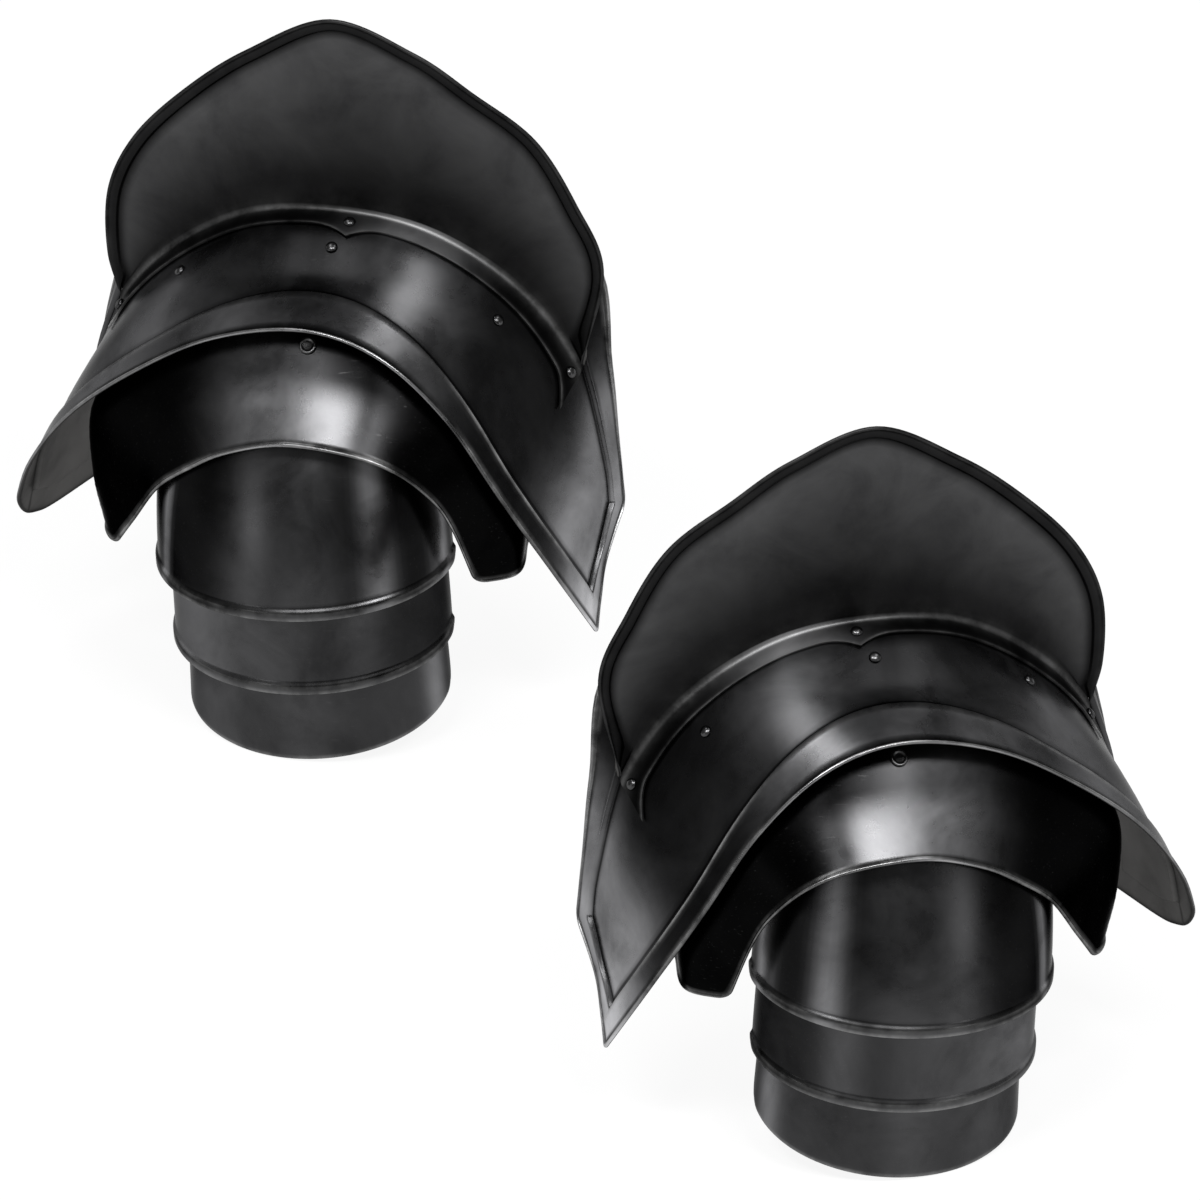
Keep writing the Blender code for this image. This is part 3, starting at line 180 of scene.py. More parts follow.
# Arch lame: three rails from the back end over the shoulder to the front end
ARCH_HEIGHT = SHOULDER_HEIGHT * 0.7667
ARCH_SCALE = (ARM_HALF_WIDTH * 1.4976, ARM_DEPTH * 0.7350, ARCH_HEIGHT)
ARCH_CORNER = 0.007
ARCH_NECK_SHARES = (
    (-0.95, 0.68, 0.096), (-0.96, 0.64, 0.315), (-0.90, 0.56, 0.575), (-0.695, 0.40, 0.79),
    (-0.345, 0.16, 0.95), (0.08, 0.04, 0.998), (0.47, 0.12, 0.92), (0.75, 0.36, 0.72),
    (0.90, 0.54, 0.46), (0.95, 0.64, 0.20), (0.92, 0.68, 0.000))
ARCH_MIDDLE_SHARES = (
    (-0.95, 0.24, 0.002), (-0.98, 0.16, 0.243), (-0.94, 0.08, 0.531),
    (-0.715, -0.04, 0.752), (-0.365, -0.18, 0.908), (0.07, -0.24, 0.961),
    (0.46, -0.20, 0.885), (0.745, -0.08, 0.68), (0.895, 0.04, 0.395), (0.95, 0.14, 0.13),
    (0.93, 0.24, -0.058))
ARCH_EDGE_SHARES = (
    (-0.89, 0.04, -0.042), (-0.75, -0.24, 0.125), (-0.57, -0.62, 0.343),
    (-0.39, -0.80, 0.470), (-0.20, -0.92, 0.570), (0.06, -0.98, 0.634),
    (0.36, -0.96, 0.612), (0.56, -0.84, 0.529), (0.69, -0.68, 0.396),
    (0.74, -0.44, 0.233), (0.77, -0.04, -0.066))

# Arm lames, nested one inside the next above; the topmost lies under the arch
# lame, so its heights are shares of that one's
ARM_WRAP_DEG = 100.0
ARM_CLEARANCES = (0.0038, 0.0045)
ARM_LIP = 0.0062
ARM_LIP_SLOPE = 0.0036
ARM_LIP_RISE = 0.0014
ARM_CORNER = 0.010
ARM_TOPS = (ARCH_HEIGHT * 0.7536, 0.014, -0.032)
ARM_TOP_SIDE_RISES = (ARCH_HEIGHT * -0.2174, 0.008, 0.011)
ARM_FRONTS = (ARCH_HEIGHT * -0.0580, -0.054, -0.095)
ARM_SIDE_RISES = (ARCH_HEIGHT * 0.0580, 0.011, 0.018)
ARM_TAPERS = (0.0, -0.0001, -0.0017)
ARM_BELL_DEPTH_SHARE = 0.62
ARM_BELL_DEPTH_POWER = 1.6
ARM_BELL_WIDTH_SHARE = 0.20
ARM_BELL_WIDTH_POWER = 3.0
LOWEST_LAME = len(ARM_FRONTS) - 1

# Rivets: a shank, a burr inside, and heads as radius, height and the dome's
# radii and heights as shares of these
RIVET_SHANK = 0.0015
RIVET_BURR_RADIUS = 0.0028
RIVET_BURR_HEIGHT = 0.0009
RIVET_BURR_ROOM = 0.0017
RIVET_BURR_SHARES = ((0.92, 0.0), (1.0, 0.2), (1.0, 0.7), (0.9, 0.95), (0.6, 1.0))
DOME_STEPS = 9
RIVET_HEADS = {
    "domed": (0.0033, 0.0019, [(math.cos(a), math.sin(a))
                               for a in np.linspace(math.pi / 2, 0, DOME_STEPS)]),
    "flat": (0.0030, 0.0010, [(0.0, 1.0), (0.45, 0.99), (0.75, 0.92), (0.92, 0.74), (1.0, 0.42)]),
    "disc": (0.0048, 0.0013, [(0.0, 0.50), (0.50, 0.50), (0.60, 0.58), (0.68, 0.86), (0.76, 1.0),
                              (0.86, 1.0), (0.95, 0.84), (1.0, 0.50)])}
HOLE_REACH = 0.0140
SHOULDER_RIVET_SHARES = ((0.338, 0.510), (0.500, 0.512), (0.692, 0.490))
ARCH_RIVET_SHARES = (0.30, 0.512, 0.68)
ARCH_RIVET_INSET = 0.0155
ARM_RIVET_SHARES = [0.5 + degrees / (2 * ARM_WRAP_DEG) for degrees in (-72.0, 0.0, 72.0)]
ARM_RIVET_INSET = 0.0085
# Share along the flange and distance below the crease
HAUTE_RIVETS = {"back": (0.018, 0.0062), "middle": (0.5, 0.0090), "front": (0.982, 0.0062)}

# Holes at the neck side, laced to the wearer's collar
COLLAR_HOLE_RADIUS = 0.0025
COLLAR_HOLE_SPREAD = 0.0100
COLLAR_HOLE_INSET = 0.0245

# Leathers under the plates: extra stops below the rivet of each arm lame, as
# shares of the lame's height
LEATHER_WIDTH = 0.016
LEATHER_THICKNESS = 0.0024
LEATHER_ROOM = 0.0022
LEATHER_LEAD = 0.0080
LEATHER_SEAT = 0.0052
LEATHER_DIVE = 0.0016
LEATHER_STOP_SHARES = ((0.232, 0.446), (0.353,), ())
LEATHER_STOPS = [(), ()] + [
    [(top - front) * share for share in shares]
    for top, front, shares in zip(ARM_TOPS, ARM_FRONTS, LEATHER_STOP_SHARES)]

# Arm strap and its buckle, on the outer rivets of the lowest lame; a slot is its
# back, front, bottom, top and width
STRAP_WIDTH = 0.018
STRAP_THICKNESS = 0.0024
STRAP_HEIGHT_Z = -0.035
STRAP_START_DEG = 65.0
STRAP_END_DEG = 106.5
STRAP_CLIMB_DEG = 22.0
STRAP_SLOT = (0.0040, 0.0110, -0.0024, 0.0090, 0.0040)
STRAP_HOLE_RADIUS = 0.0011
STRAP_HOLE_DEGS = (24.0, 34.0, 44.0)
CHAPE_THICKNESS = 0.0018
CHAPE_LEAD_DEG = 6.0
CHAPE_LOOP_DEG = 280.0
CHAPE_SLOT = (0.0052, 0.0044, -0.0046, 0.0046, 0.0054)
BUCKLE_DEG = 114.0
BUCKLE_BAR_RADIUS = 0.0013
BUCKLE_WIDTH = STRAP_WIDTH * 1.5
BUCKLE_LENGTH = 0.0150
BUCKLE_CORNER = 0.0040
PRONG_RADIUS = 0.0010
PRONG_OVERHANG = 0.0014
PRONG_EYE_DEGS = (350.0, 100.0)

# Rubbed places: the crest of a rolled rim as place and width, and shares of full wear
RIM_CREST = (HEM_WIDTH * 0.4, HEM_WIDTH * 0.5)
HAUTE_FOOT_CREST_ROWS = 0.6
# The step's crest is worn, and this share also paints a highlight along it
STEP_WEAR_AND_HIGHLIGHT = 0.95
EDGE_WEAR = 0.8
LIP_WEAR = 0.3
HAUTE_RIM_WEAR = 0.25
RIVET_WEAR = 0.5
INNER_WEAR = 0.10

# Each plate's painted light, painted highlights and painted shade that stand in for
# its reflections: its level, its rise towards the neck side, and bands across it as
# place and width in shares of its length, height, and how far the band fades towards
# the neck side (positive) or the lower side (negative)
PLATE_PAINTED_LIGHT = {
    "shoulder_plate": (0.62, -0.35, (
        (0.09, 0.12, 2.2, 0.0), (0.33, 0.07, 1.7, 0.0), (0.50, 0.03, -0.30, 0.0),
        (0.585, 0.04, 1.5, 0.0), (0.66, 0.03, 0.6, 0.0), (0.90, 0.045, 4.0, 0.2),
        (0.975, 0.035, 9.0, 0.4), (0.80, 0.05, -0.15, 0.0))),
    "shoulder_border": (0.25, 0.0, (
        (0.09, 0.12, 2.4, 0.0), (0.26, 0.08, 1.2, 0.0), (0.40, 0.05, 3.6, 0.0),
        (0.49, 0.05, 1.8, 0.0), (0.60, 0.060, 3.4, 0.0), (0.98, 0.06, 12.0, 0.0))),
    "arch_lame": (0.05, 0.0, ((0.46, 0.065, 5.5, 0.7), (0.585, 0.048, 1.15, 1.0))),
    "arm_lame_1": (0.16, 0.0, (
        (0.205, 0.015, 3.4, 0.0), (0.45, 0.060, 0.8, 0.0), (0.58, 0.09, 0.9, 0.0),
        (0.74, 0.032, 5.5, -0.4), (0.92, 0.03, 5.0, 0.0))),
    "arm_lame_2": (0.33, 0.0, (
        (0.24, 0.16, 1.85, 0.0), (0.50, 0.12, 0.6, 0.0), (0.70, 0.05, 0.8, 0.0))),
    "arm_lame_3": (0.70, 0.0, (
        (0.25, 0.16, 0.5, 0.0), (0.53, 0.06, 0.45, 0.0), (0.90, 0.04, 2.3, 0.0))),
    "haute_foot": (0.08, 0.0, ((0.20, 0.12, 0.2, 0.0), (0.62, 0.09, 3.8, 0.0),))}
TONE_FADE_START = 0.42
TONE_FADE_LENGTH = 0.28
TONE_LEAST = 0.03
# Painted shade lines along grooves: width, place and width at the border's step, and how much
# darker they are
GROOVE_WIDTH = 0.0010
STEP_GROOVE_PLACE = BORDER + BORDER_SLOPE * 0.75
STEP_GROOVE_WIDTH = 0.0016
GROOVE_SHADE_SHARE = 0.92
# Haute-piece's painted light: painted shade at its foot, painted light at its top, and how much
# darker the painted shade along its rim is
HAUTE_FOOT_PAINTED_SHADE = 0.05
HAUTE_TOP_PAINTED_LIGHT = 1.75
HAUTE_RIM_PAINTED_SHADE = 0.80
INNER_LINE_SHARE = 0.70

# Stage, light and camera. Each box stands on both sides: azimuth, elevation,
# width and height seen from the object, in degrees, and radiance
CAMERA_DISTANCE = 25.0
CAMERA_CLIP_SHARES = (0.5, 2.0)
CAMERA_FRAME_WIDTH = 0.6396
CAMERA_CENTRE = Vector((-0.0005, 0.0385, 0.0755))
CAMERA_TILT = math.radians(27.0)
SENSOR_WIDTH = 36.0
FLOOR_REACH = 60.0
FLOOR_GLOW_SHARE = 0.90
FLOOR_COLOUR = 0.95
FLOOR_ROUGHNESS = 0.9
FLOOR_SHINE = 0.1
WORLD_LEVEL = 0.25
LIGHT_CENTRE = (CAD_BOX[0] + CAD_BOX[1]) / 2
LIGHT_DISTANCE = 3.5
SOFTBOXES = {
    "front_box": (27.0, 51.0, 22.0, 12.0, 24.0),
    "side_box": (114.0, 66.0, 28.0, 16.0, 5.0),
    "knee_box": (50.0, 9.0, 9.0, 14.0, 3.0),
    "low_box": (124.0, 5.0, 42.0, 20.0, 1.2)}


# Surfaces and solids, in a pauldron's own frame


def unit(vectors):
    return vectors / np.linalg.norm(vectors, axis=-1, keepdims=True)


def smooth(share):
    share = np.clip(share, 0, 1)
    return share * share * (3 - 2 * share)


def crest(distance, place, width):
    return np.exp(-(((distance - place) / width) ** 2))


def padded_net(net, axis):
    """A net with one extrapolated row before and after, for the spline to lean on."""
    first, second, third, last = (np.take(net, [k], axis) for k in (0, 1, -2, -1))
    return np.concatenate([2 * first - second, net, 2 * last - third], axis)


def spline_weights(share, count):
    """Catmull-Rom index and weights for a share along rows of a table."""
    place = share * (count - 1)
    index = np.clip(np.floor(place).astype(int), 0, count - 2)
    f = place - index
    weights = np.stack([
        -f + 2 * f**2 - f**3, 2 - 5 * f**2 + 3 * f**3,
        f + 4 * f**2 - 3 * f**3, f**3 - f**2], -1) / 2
    return index, weights


def net_point(net, u, v):
    """Point of the smooth surface through a net of rails."""
    u, v = np.broadcast_arrays(u, v)
    grid = padded_net(padded_net(net, 0), 1)
    row, row_weights = spline_weights(v, net.shape[0])
    column, column_weights = spline_weights(u, net.shape[1])
    total = np.zeros(u.shape + (3,))
    for a in range(4):
        for b in range(4):
            weight = row_weights[..., a] * column_weights[..., b]
            total += weight[..., None] * grid[row + a, column + b]
    return total


SHOULDER_NET = SHOULDER_SCALE * np.array((
    SHOULDER_NECK_SHARES, SHOULDER_CREASE_SHARES, SHOULDER_MIDDLE_SHARES, SHOULDER_ARCH_SHARES))
ARCH_NET = ARCH_SCALE * np.array((ARCH_NECK_SHARES, ARCH_MIDDLE_SHARES, ARCH_EDGE_SHARES))
HAUTE_NET = HAUTE_SCALE * np.array((HAUTE_OUTLINE_SHARES,) * 2) + (0, 0, HAUTE_FOOT_HEIGHT)


def turned(points, angle, first, second):
    """Points turned in the plane of two of their axes."""
    made = np.array(points)
    a, b = points[..., first], points[..., second]
    made[..., first] = a * math.cos(angle) - b * math.sin(angle)
    made[..., second] = a * math.sin(angle) + b * math.cos(angle)
    return made


def arm_to_shoulder(points):
    """From the canted frame of the arm plates to the pauldron's frame."""
    return turned(points, ARM_CANT, 0, 2)


def shoulder_surface(u, v):
    return net_point(SHOULDER_NET, u, v)


def arch_surface(u, v):
    return arm_to_shoulder(net_point(ARCH_NET, u, v))


# How far each lame's lip level lies inside that of the topmost arm lame
ARM_INSETS = np.cumsum([0.0] + [SHEET + clearance + taper
                                for clearance, taper in zip(ARM_CLEARANCES, ARM_TAPERS)])
ARM_INSETS[-1] += ARM_LIP_RISE


def arm_lame_surface(lame):
    def surface(u, v):
        u, v = np.broadcast_arrays(u, v)
        angle = math.radians(ARM_WRAP_DEG) * (2 * u - 1)
        aside = 1 - np.cos(angle)
        top = ARM_TOPS[lame] + ARM_TOP_SIDE_RISES[lame] * aside
        low = ARM_FRONTS[lame] + ARM_SIDE_RISES[lame] * aside
        z = top + (low - top) * v
        bell = np.clip((z - ARM_FRONTS[0]) / (ARM_TOPS[0] - ARM_FRONTS[0]), 0, None)
        taper = ARM_INSETS[lame] + ARM_TAPERS[lame] * np.clip(v, 0, 1)
        narrowed = ARM_BELL_WIDTH_SHARE * bell ** ARM_BELL_WIDTH_POWER
        shallowed = ARM_BELL_DEPTH_SHARE * bell ** ARM_BELL_DEPTH_POWER
        half_width = ARM_HALF_WIDTH * (1 - narrowed) - taper
        depth = ARM_DEPTH * (1 - shallowed) - taper
        x = half_width * np.sin(angle) + ARM_LAME_SHIFT * lame
        return arm_to_shoulder(np.stack([x, -depth * np.cos(angle), z], -1))

    return surface


def surface_slopes(surface, u, v):
    along = (surface(u + STEP_SHARE, v) - surface(u - STEP_SHARE, v)) / (2 * STEP_SHARE)
    down = (surface(u, v + STEP_SHARE) - surface(u, v - STEP_SHARE)) / (2 * STEP_SHARE)
    return along, down


def moved(surface, u, v, across, down_by):
    """Shares reached from (u, v) by going a distance across and down."""
    along, down = surface_slopes(surface, u, v)
    return (u + across / np.linalg.norm(along, axis=-1),
            v + down_by / np.linalg.norm(down, axis=-1))


def spot_on(surface, u, v, depth):
    """Point and outward normal at a depth off a surface, where a rivet seats."""
    along, down = surface_slopes(surface, u, v)
    normal = unit(np.cross(down, along))
    return surface(u, v) + normal * depth, normal


# Plates from the shoulder down, as a leather joins them, and the depth of each
# plate's face under its surface
STAGES = {"shoulder_plate": shoulder_surface, "arch_lame": arch_surface}
STAGES.update({f"arm_lame_{k + 1}": arm_lame_surface(k) for k in range(len(ARM_FRONTS))})
STAGE_NAMES = list(STAGES)
STAGE_SURFACES = list(STAGES.values())
STAGE_SINKS = [BORDER_RISE, 0.0] + [ARM_LIP_RISE] * LOWEST_LAME + [0.0]
LEATHER_LINES = {"back": STAGE_NAMES, "middle": STAGE_NAMES[:3], "front": STAGE_NAMES}


def run_lengths(surface, other, along_u):
    """Distances along one line of a surface to each of the samples."""
    points = surface(SAMPLES, other) if along_u else surface(other, SAMPLES)
    steps = np.linalg.norm(np.diff(points, axis=0), axis=1)
    return np.concatenate([[0.0], np.cumsum(steps)])


def stations(run, first, last, inner):
    """Distances along a line: bands from both ends and even ones between them."""
    last = run[-1] - np.array(last)[::-1]
    return np.concatenate([first, np.linspace(first[-1], last[0], inner + 2)[1:-1], last])


def surface_grid(surface, bands, inner, corners):
    """Points of a plate with stations in bands along its four sides.

    bands: distances from the back end, front end, neck side and lower side.
    inner: how many columns and rows lie between them.
    corners: radii at back-neck, front-neck, back-lower and front-lower.
    Returns the points and, for each side, every point's distance from it.
    """
    ways = ((True, (*bands[:2], inner[0])), (False, (*bands[2:], inner[1])))
    nominal = []
    for along_u, asked in ways:
        run = run_lengths(surface, 0.5, along_u)
        nominal.append(np.interp(stations(run, *asked), run, SAMPLES))
    runs, near, far = [], [], []
    for (along_u, asked), others in zip(ways, nominal[::-1]):
        runs.append([run_lengths(surface, other, along_u) for other in others])
        near.append(np.stack([stations(run, *asked) for run in runs[-1]], 0 if along_u else 1))
        lengths = np.array([run[-1] for run in runs[-1]])
        far.append((lengths[:, None] if along_u else lengths) - near[-1])
    sides = [near[0], far[0], near[1], far[1]]
    placed = [way.copy() for way in near]
    for index, radius in enumerate(corners):
        legs = [radius - sides[index % 2], radius - sides[2 + index // 2]]
        inside = (legs[0] > 0) & (legs[1] > 0)
        squeeze = 1 - np.maximum(*legs) / np.maximum(np.hypot(*legs), GAP)
        for way, far_side in enumerate((index % 2, index // 2)):
            shift = np.where(inside, legs[way] * squeeze, 0.0)
            placed[way] += -shift if far_side else shift
    u = np.stack([np.interp(*line, SAMPLES) for line in zip(placed[0], runs[0])])
    v = np.stack([np.interp(*line, SAMPLES) for line in zip(placed[1].T, runs[1])], 1)
    return surface(u, v), sides


def grid_normals(points):
    """Outward normals of a grid, lengthened where it folds."""
    faces = unit(np.cross(points[1:, :-1] - points[:-1, 1:], points[1:, 1:] - points[:-1, :-1]))
    total = np.zeros_like(points)
    weight = np.zeros(points.shape[:2] + (1,))
    for a in (slice(None, -1), slice(1, None)):
        for b in (slice(None, -1), slice(1, None)):
            total[a, b] += faces
            weight[a, b] += 1
    mitre = np.linalg.norm(total / weight, axis=-1, keepdims=True)
    return unit(total) / np.clip(mitre, SMALLEST_MITRE_SHARE, 1)


def solid_from_grids(outer, inner):
    """Closed body between two grids of equal size: outer faces, inner faces, rim."""
    rows, columns = outer.shape[:2]
    count = rows * columns
    index = np.arange(count).reshape(rows, columns)
    quads = [index[:-1, :-1], index[1:, :-1], index[1:, 1:], index[:-1, 1:]]
    quads = np.stack(quads, -1).reshape(-1, 4)
    rim = np.concatenate([index[0], index[1:, -1], index[-1, -2::-1], index[-2:0:-1, 0]])
    after = np.roll(rim, -1)
    wall = np.stack([rim, after, after + count, rim + count], -1)
    return (np.concatenate([outer.reshape(-1, 3), inner.reshape(-1, 3)]),
            np.concatenate([quads, quads[:, ::-1] + count, wall]))


def skinned(rings, closed=False):
    """Body through rings of points; a ring of one point is a pole."""
    starts = np.cumsum([0] + [len(ring) for ring in rings])
    faces = []
    for a in range(len(rings) if closed else len(rings) - 1):
        b = (a + 1) % len(rings)
        for k in range(max(len(rings[a]), len(rings[b]))):
            corners = ((a, k), (b, k), (b, k + 1), (a, k + 1))
            faces.append(tuple(dict.fromkeys(
                starts[ring] + place % len(rings[ring]) for ring, place in corners)))
    return np.concatenate(rings), faces


def revolved(profile):
    """Closed body turned about Z from (radius, height) pairs that start and end on Z."""
    turns = 2 * math.pi * np.arange(RIVET_SIDES) / RIVET_SIDES
    return skinned([
        [(radius * math.cos(turn), radius * math.sin(turn), height)
         for turn in (turns if radius else turns[:1])]
        for radius, height in profile])


def tube(centres, radius, closed):
    """Round bar swept along points that lie in one plane."""
    centres = np.array(centres)
    plane = unit(np.cross(centres[1] - centres[0], centres[2] - centres[1]))
    before, after = np.roll(centres, 1, 0), np.roll(centres, -1, 0)
    if not closed:
        before[0], after[-1] = centres[0], centres[-1]
    outward = unit(np.cross(unit(after - before), plane))
    turns = 2 * math.pi * np.arange(WIRE_SIDES)[:, None] / WIRE_SIDES
    points, faces = skinned([
        centre + radius * (np.cos(turns) * out + np.sin(turns) * plane)
        for centre, out in zip(centres, outward)], closed)
    if not closed:
        faces += [range(WIRE_SIDES), range(len(points) - WIRE_SIDES, len(points))]
    return points, faces


def placed_at(points, spot, normal):
    """Points turned from +Z onto a normal and moved to a spot."""
    turn = Vector((0, 0, 1)).rotation_difference(Vector(normal)).to_matrix()
    return points @ np.array(turn).T + spot


# Plates


def fine_band(places, reach=0.0):
    """Stations at these places, with others between them and on to the reach."""
    wanted = sorted(places)
    if reach > wanted[-1]:
        wanted.append(reach)
    band = [wanted[0]]
    for place in wanted[1:]:
        count = math.ceil((place - band[-1]) / FINE_STEP - STEP_SHARE)
        band += list(np.linspace(band[-1], place, max(count, 1) + 1)[1:])
    return band


def step_places(border, slope):
    return [border + slope * (share - 0.5) for share in STEP_SHARES]


def rounded_edge(distance, radius):
    """Half the thickness of an edge that is round to a radius."""
    inside = np.clip(radius - distance, 0, None)
    return np.sqrt(np.clip(radius**2 - inside**2, (GAP / 4) ** 2, None))


def rolled_edge(distance):
    """Heights of the outer and inner faces where an edge is rolled over a wire."""
    radius = (SHEET + HEM_RISE) / 2
    middle = (HEM_RISE - SHEET) / 2
    half = rounded_edge(distance, radius)
    fade = smooth((distance - radius) / (HEM_WIDTH - radius))
    outer = np.where(distance < radius, middle + half, HEM_RISE * (1 - fade))
    return outer, np.where(distance < radius, middle - half, -SHEET)


def filed_edge(distance):
    """Heights of both faces where a plain edge is filed round."""
    half = rounded_edge(distance, SHEET / 2)
    return half - SHEET / 2, -half - SHEET / 2


def stepped(distance, border, slope, rise):
    """Height of the sheet beside a raised border."""
    return -rise * smooth((distance - border + slope / 2) / slope)


def undulation(points, seed):
    """Slight unevenness of hammered sheet."""
    chance = np.random.default_rng(seed)
    total = np.zeros(points.shape[:-1])
    for _ in range(UNDULATION_WAVES):
        way = unit(chance.normal(size=3))
        length = chance.uniform(*UNDULATION_LENGTHS)
        total += np.sin(2 * math.pi * (points @ way) / length + chance.uniform(0, 2 * math.pi))
    return total * UNDULATION / math.sqrt(UNDULATION_WAVES)


def plate_painted_light(plate, across, down):
    """Painted light of a plate: one is even, less is painted shade, more is a painted highlight.
    """
    level, rise, bands = PLATE_PAINTED_LIGHT[plate]
    painted_light = level + rise * (1 - down)
    low = smooth((down - TONE_FADE_START) / TONE_FADE_LENGTH)
    for place, width, height, lean in bands:
        kept = low if lean > 0 else 1 - low
        painted_light = painted_light + height * crest(across, place, width) * (1 - abs(lean) * (1 - kept))
    return np.clip(painted_light, TONE_LEAST, None)


def painted_groove_shade(painted_light, edge, place, width=GROOVE_WIDTH):
    """Painted light with a painted shade line along a groove."""
    return painted_light * (1 - GROOVE_SHADE_SHARE * crest(edge, place, width))


def grid_shares(sides):
    """Shares of the way from the back end and from the neck side."""
    return sides[0] / (sides[0] + sides[1]), sides[2] / (sides[2] + sides[3])


def rim_wear(edge):
    return crest(edge, *RIM_CREST)


def shell(points, outer, inner, wear, painted_light, seed):
    """Closed sheet over a grid; returns points, faces, wear, painted light and each face's finish.
    """
    normal = grid_normals(points)
    uneven = undulation(points, seed)
    made, faces = solid_from_grids(points + normal * (outer + uneven)[..., None],
                                   points + normal * (inner + uneven)[..., None])
    count = (points.shape[0] - 1) * (points.shape[1] - 1)
    finish = np.zeros(len(faces), int)
    finish[count:2 * count] = 1
    worn = np.concatenate([wear.ravel(), wear.ravel() * INNER_WEAR])
    # Inner faces: level one, darker along the rims by a share of the wear
    toned = np.concatenate([painted_light.ravel(), 1 - INNER_LINE_SHARE * wear.ravel()])
    return made, faces, worn, toned, finish


def slid(points, from_low, shifts):
    """Grid whose points slide along their columns, away from the lower side."""
    made = points.copy()
    for j in range(points.shape[1]):
        run = from_low[::-1, j]
        column = points[::-1, j]
        slope = np.gradient(column, run, axis=0)
        wanted = np.clip(run + shifts[::-1, j], 0, run[-1])
        k = np.clip(np.searchsorted(run, wanted) - 1, 0, len(run) - 2)
        gap = (run[k + 1] - run[k])[:, None]
        t = (wanted - run[k])[:, None] / gap
        made[::-1, j] = (
            (1 + 2 * t) * (1 - t) ** 2 * column[k] + t * (1 - t) ** 2 * gap * slope[k]
            + t * t * (3 - 2 * t) * column[k + 1] + t * t * (t - 1) * gap * slope[k + 1])
    return made


def shoulder_plate_fine():
    band = fine_band(HEM_PLACES + step_places(BORDER, BORDER_SLOPE), BACK_CORNER + FINE_STEP)
    points, sides = surface_grid(shoulder_surface, (band,) * 4, PLATE_FINE,
                                 (NECK_CORNER, NECK_CORNER, BACK_CORNER, FRONT_CORNER))
    edge = np.minimum.reduce(sides)
    ends = np.minimum(sides[0], sides[1])
    low = sides[3]
    across, down = grid_shares(sides)
    widening = BORDER_FLANK_EXTRA + BORDER_MIDDLE_EXTRA * crest(
        across, BORDER_MIDDLE_PLACE, BORDER_MIDDLE_WIDTH)
    start = BORDER - BORDER_SLOPE / 2
    grown = np.clip((low - HEM_WIDTH) / (start - HEM_WIDTH), 0, 1)
    spent = smooth((low - BORDER - BORDER_SLOPE / 2) / BORDER_FADE)
    points = slid(points, low, widening * smooth(ends / BORDER_END_FADE) * grown * (1 - spent))
    outer, inner = rolled_edge(edge)
    sunk = stepped(edge, BORDER, BORDER_SLOPE, BORDER_RISE)
    # Worn rims, and the worn step crest that also carries a painted highlight
    wear = np.maximum(rim_wear(edge), STEP_WEAR_AND_HIGHLIGHT * crest(low, start, BORDER_SLOPE / 2))
    # Painted light: painted highlight and painted shade bands, the border's own, and painted shade
    # lines along the hem, the step's foot and the border's ends
    painted_light = plate_painted_light("shoulder_plate", across, down)
    on_border = smooth((BORDER - low) / BORDER_SLOPE + 0.5)
    painted_light = painted_light + on_border * (plate_painted_light("shoulder_border", across, down) - painted_light)
    painted_light = painted_groove_shade(painted_light, edge, HEM_WIDTH)
    painted_light = painted_groove_shade(painted_light, edge, STEP_GROOVE_PLACE, STEP_GROOVE_WIDTH)
    ends = np.where(ends < np.minimum(sides[2], low), ends, 2 * BORDER)
    painted_light = painted_groove_shade(painted_light, ends, BORDER, BORDER_SLOPE / 2)
    return points, outer + sunk, inner + sunk, wear, painted_light


def arch_lame_fine():
    band = fine_band(HEM_PLACES, ARCH_CORNER + FINE_STEP)
    points, sides = surface_grid(arch_surface, (band, band, [0.0], band), PLATE_FINE,
                                 (0.0, 0.0, ARCH_CORNER, ARCH_CORNER))
    edge = np.minimum.reduce([sides[0], sides[1], sides[3]])
    # Painted highlight and painted shade across the lame, and a painted shade line along the hem
    painted_light = painted_groove_shade(plate_painted_light("arch_lame", *grid_shares(sides)), edge, HEM_WIDTH)
    return points, *rolled_edge(edge), rim_wear(edge), painted_light


def arm_lame_fine(name):
    lowest = name == STAGE_NAMES[-1]
    reach = ARM_CORNER + FINE_STEP
    corner = fine_band([0.0], reach)
    places = [SHEET / 2 * share for share in STEP_SHARES]
    places += [] if lowest else step_places(ARM_LIP, ARM_LIP_SLOPE)
    points, sides = surface_grid(STAGES[name], (corner, corner, [0.0], fine_band(places, reach)),
                                 ARM_FINE, (0.0, 0.0, ARM_CORNER, ARM_CORNER))
    low = sides[3]
    outer, inner = filed_edge(low)
    wear = EDGE_WEAR * crest(low, 0.0, SHEET)
    # Painted highlights and painted shade across the lame
    painted_light = plate_painted_light(name, *grid_shares(sides))
    if lowest:
        return points, outer, inner, wear, painted_light
    start = ARM_LIP - ARM_LIP_SLOPE / 2
    sunk = stepped(low, ARM_LIP, ARM_LIP_SLOPE, ARM_LIP_RISE)
    wear = np.maximum(wear, LIP_WEAR * crest(low, start, ARM_LIP_SLOPE / 2))
    # Painted shade line at the foot of the lip's step
    return points, outer + sunk, inner + sunk, wear, painted_groove_shade(painted_light, low, start)


def flange_width(share):
    """Width of the flange along the crease: a cusp at the middle, tails at the ends."""
    cusp = np.clip(1 - np.abs(share - 0.5) / HAUTE_CUSP_REACH_SHARE, 0, 1) ** 2
    end = np.minimum(share, 1 - share)
    tail = np.clip(1 - end / HAUTE_TAIL_REACH_SHARE, 0, 1) ** 2
    return HAUTE_FLANGE + HAUTE_CUSP * cusp + HAUTE_TAIL * tail


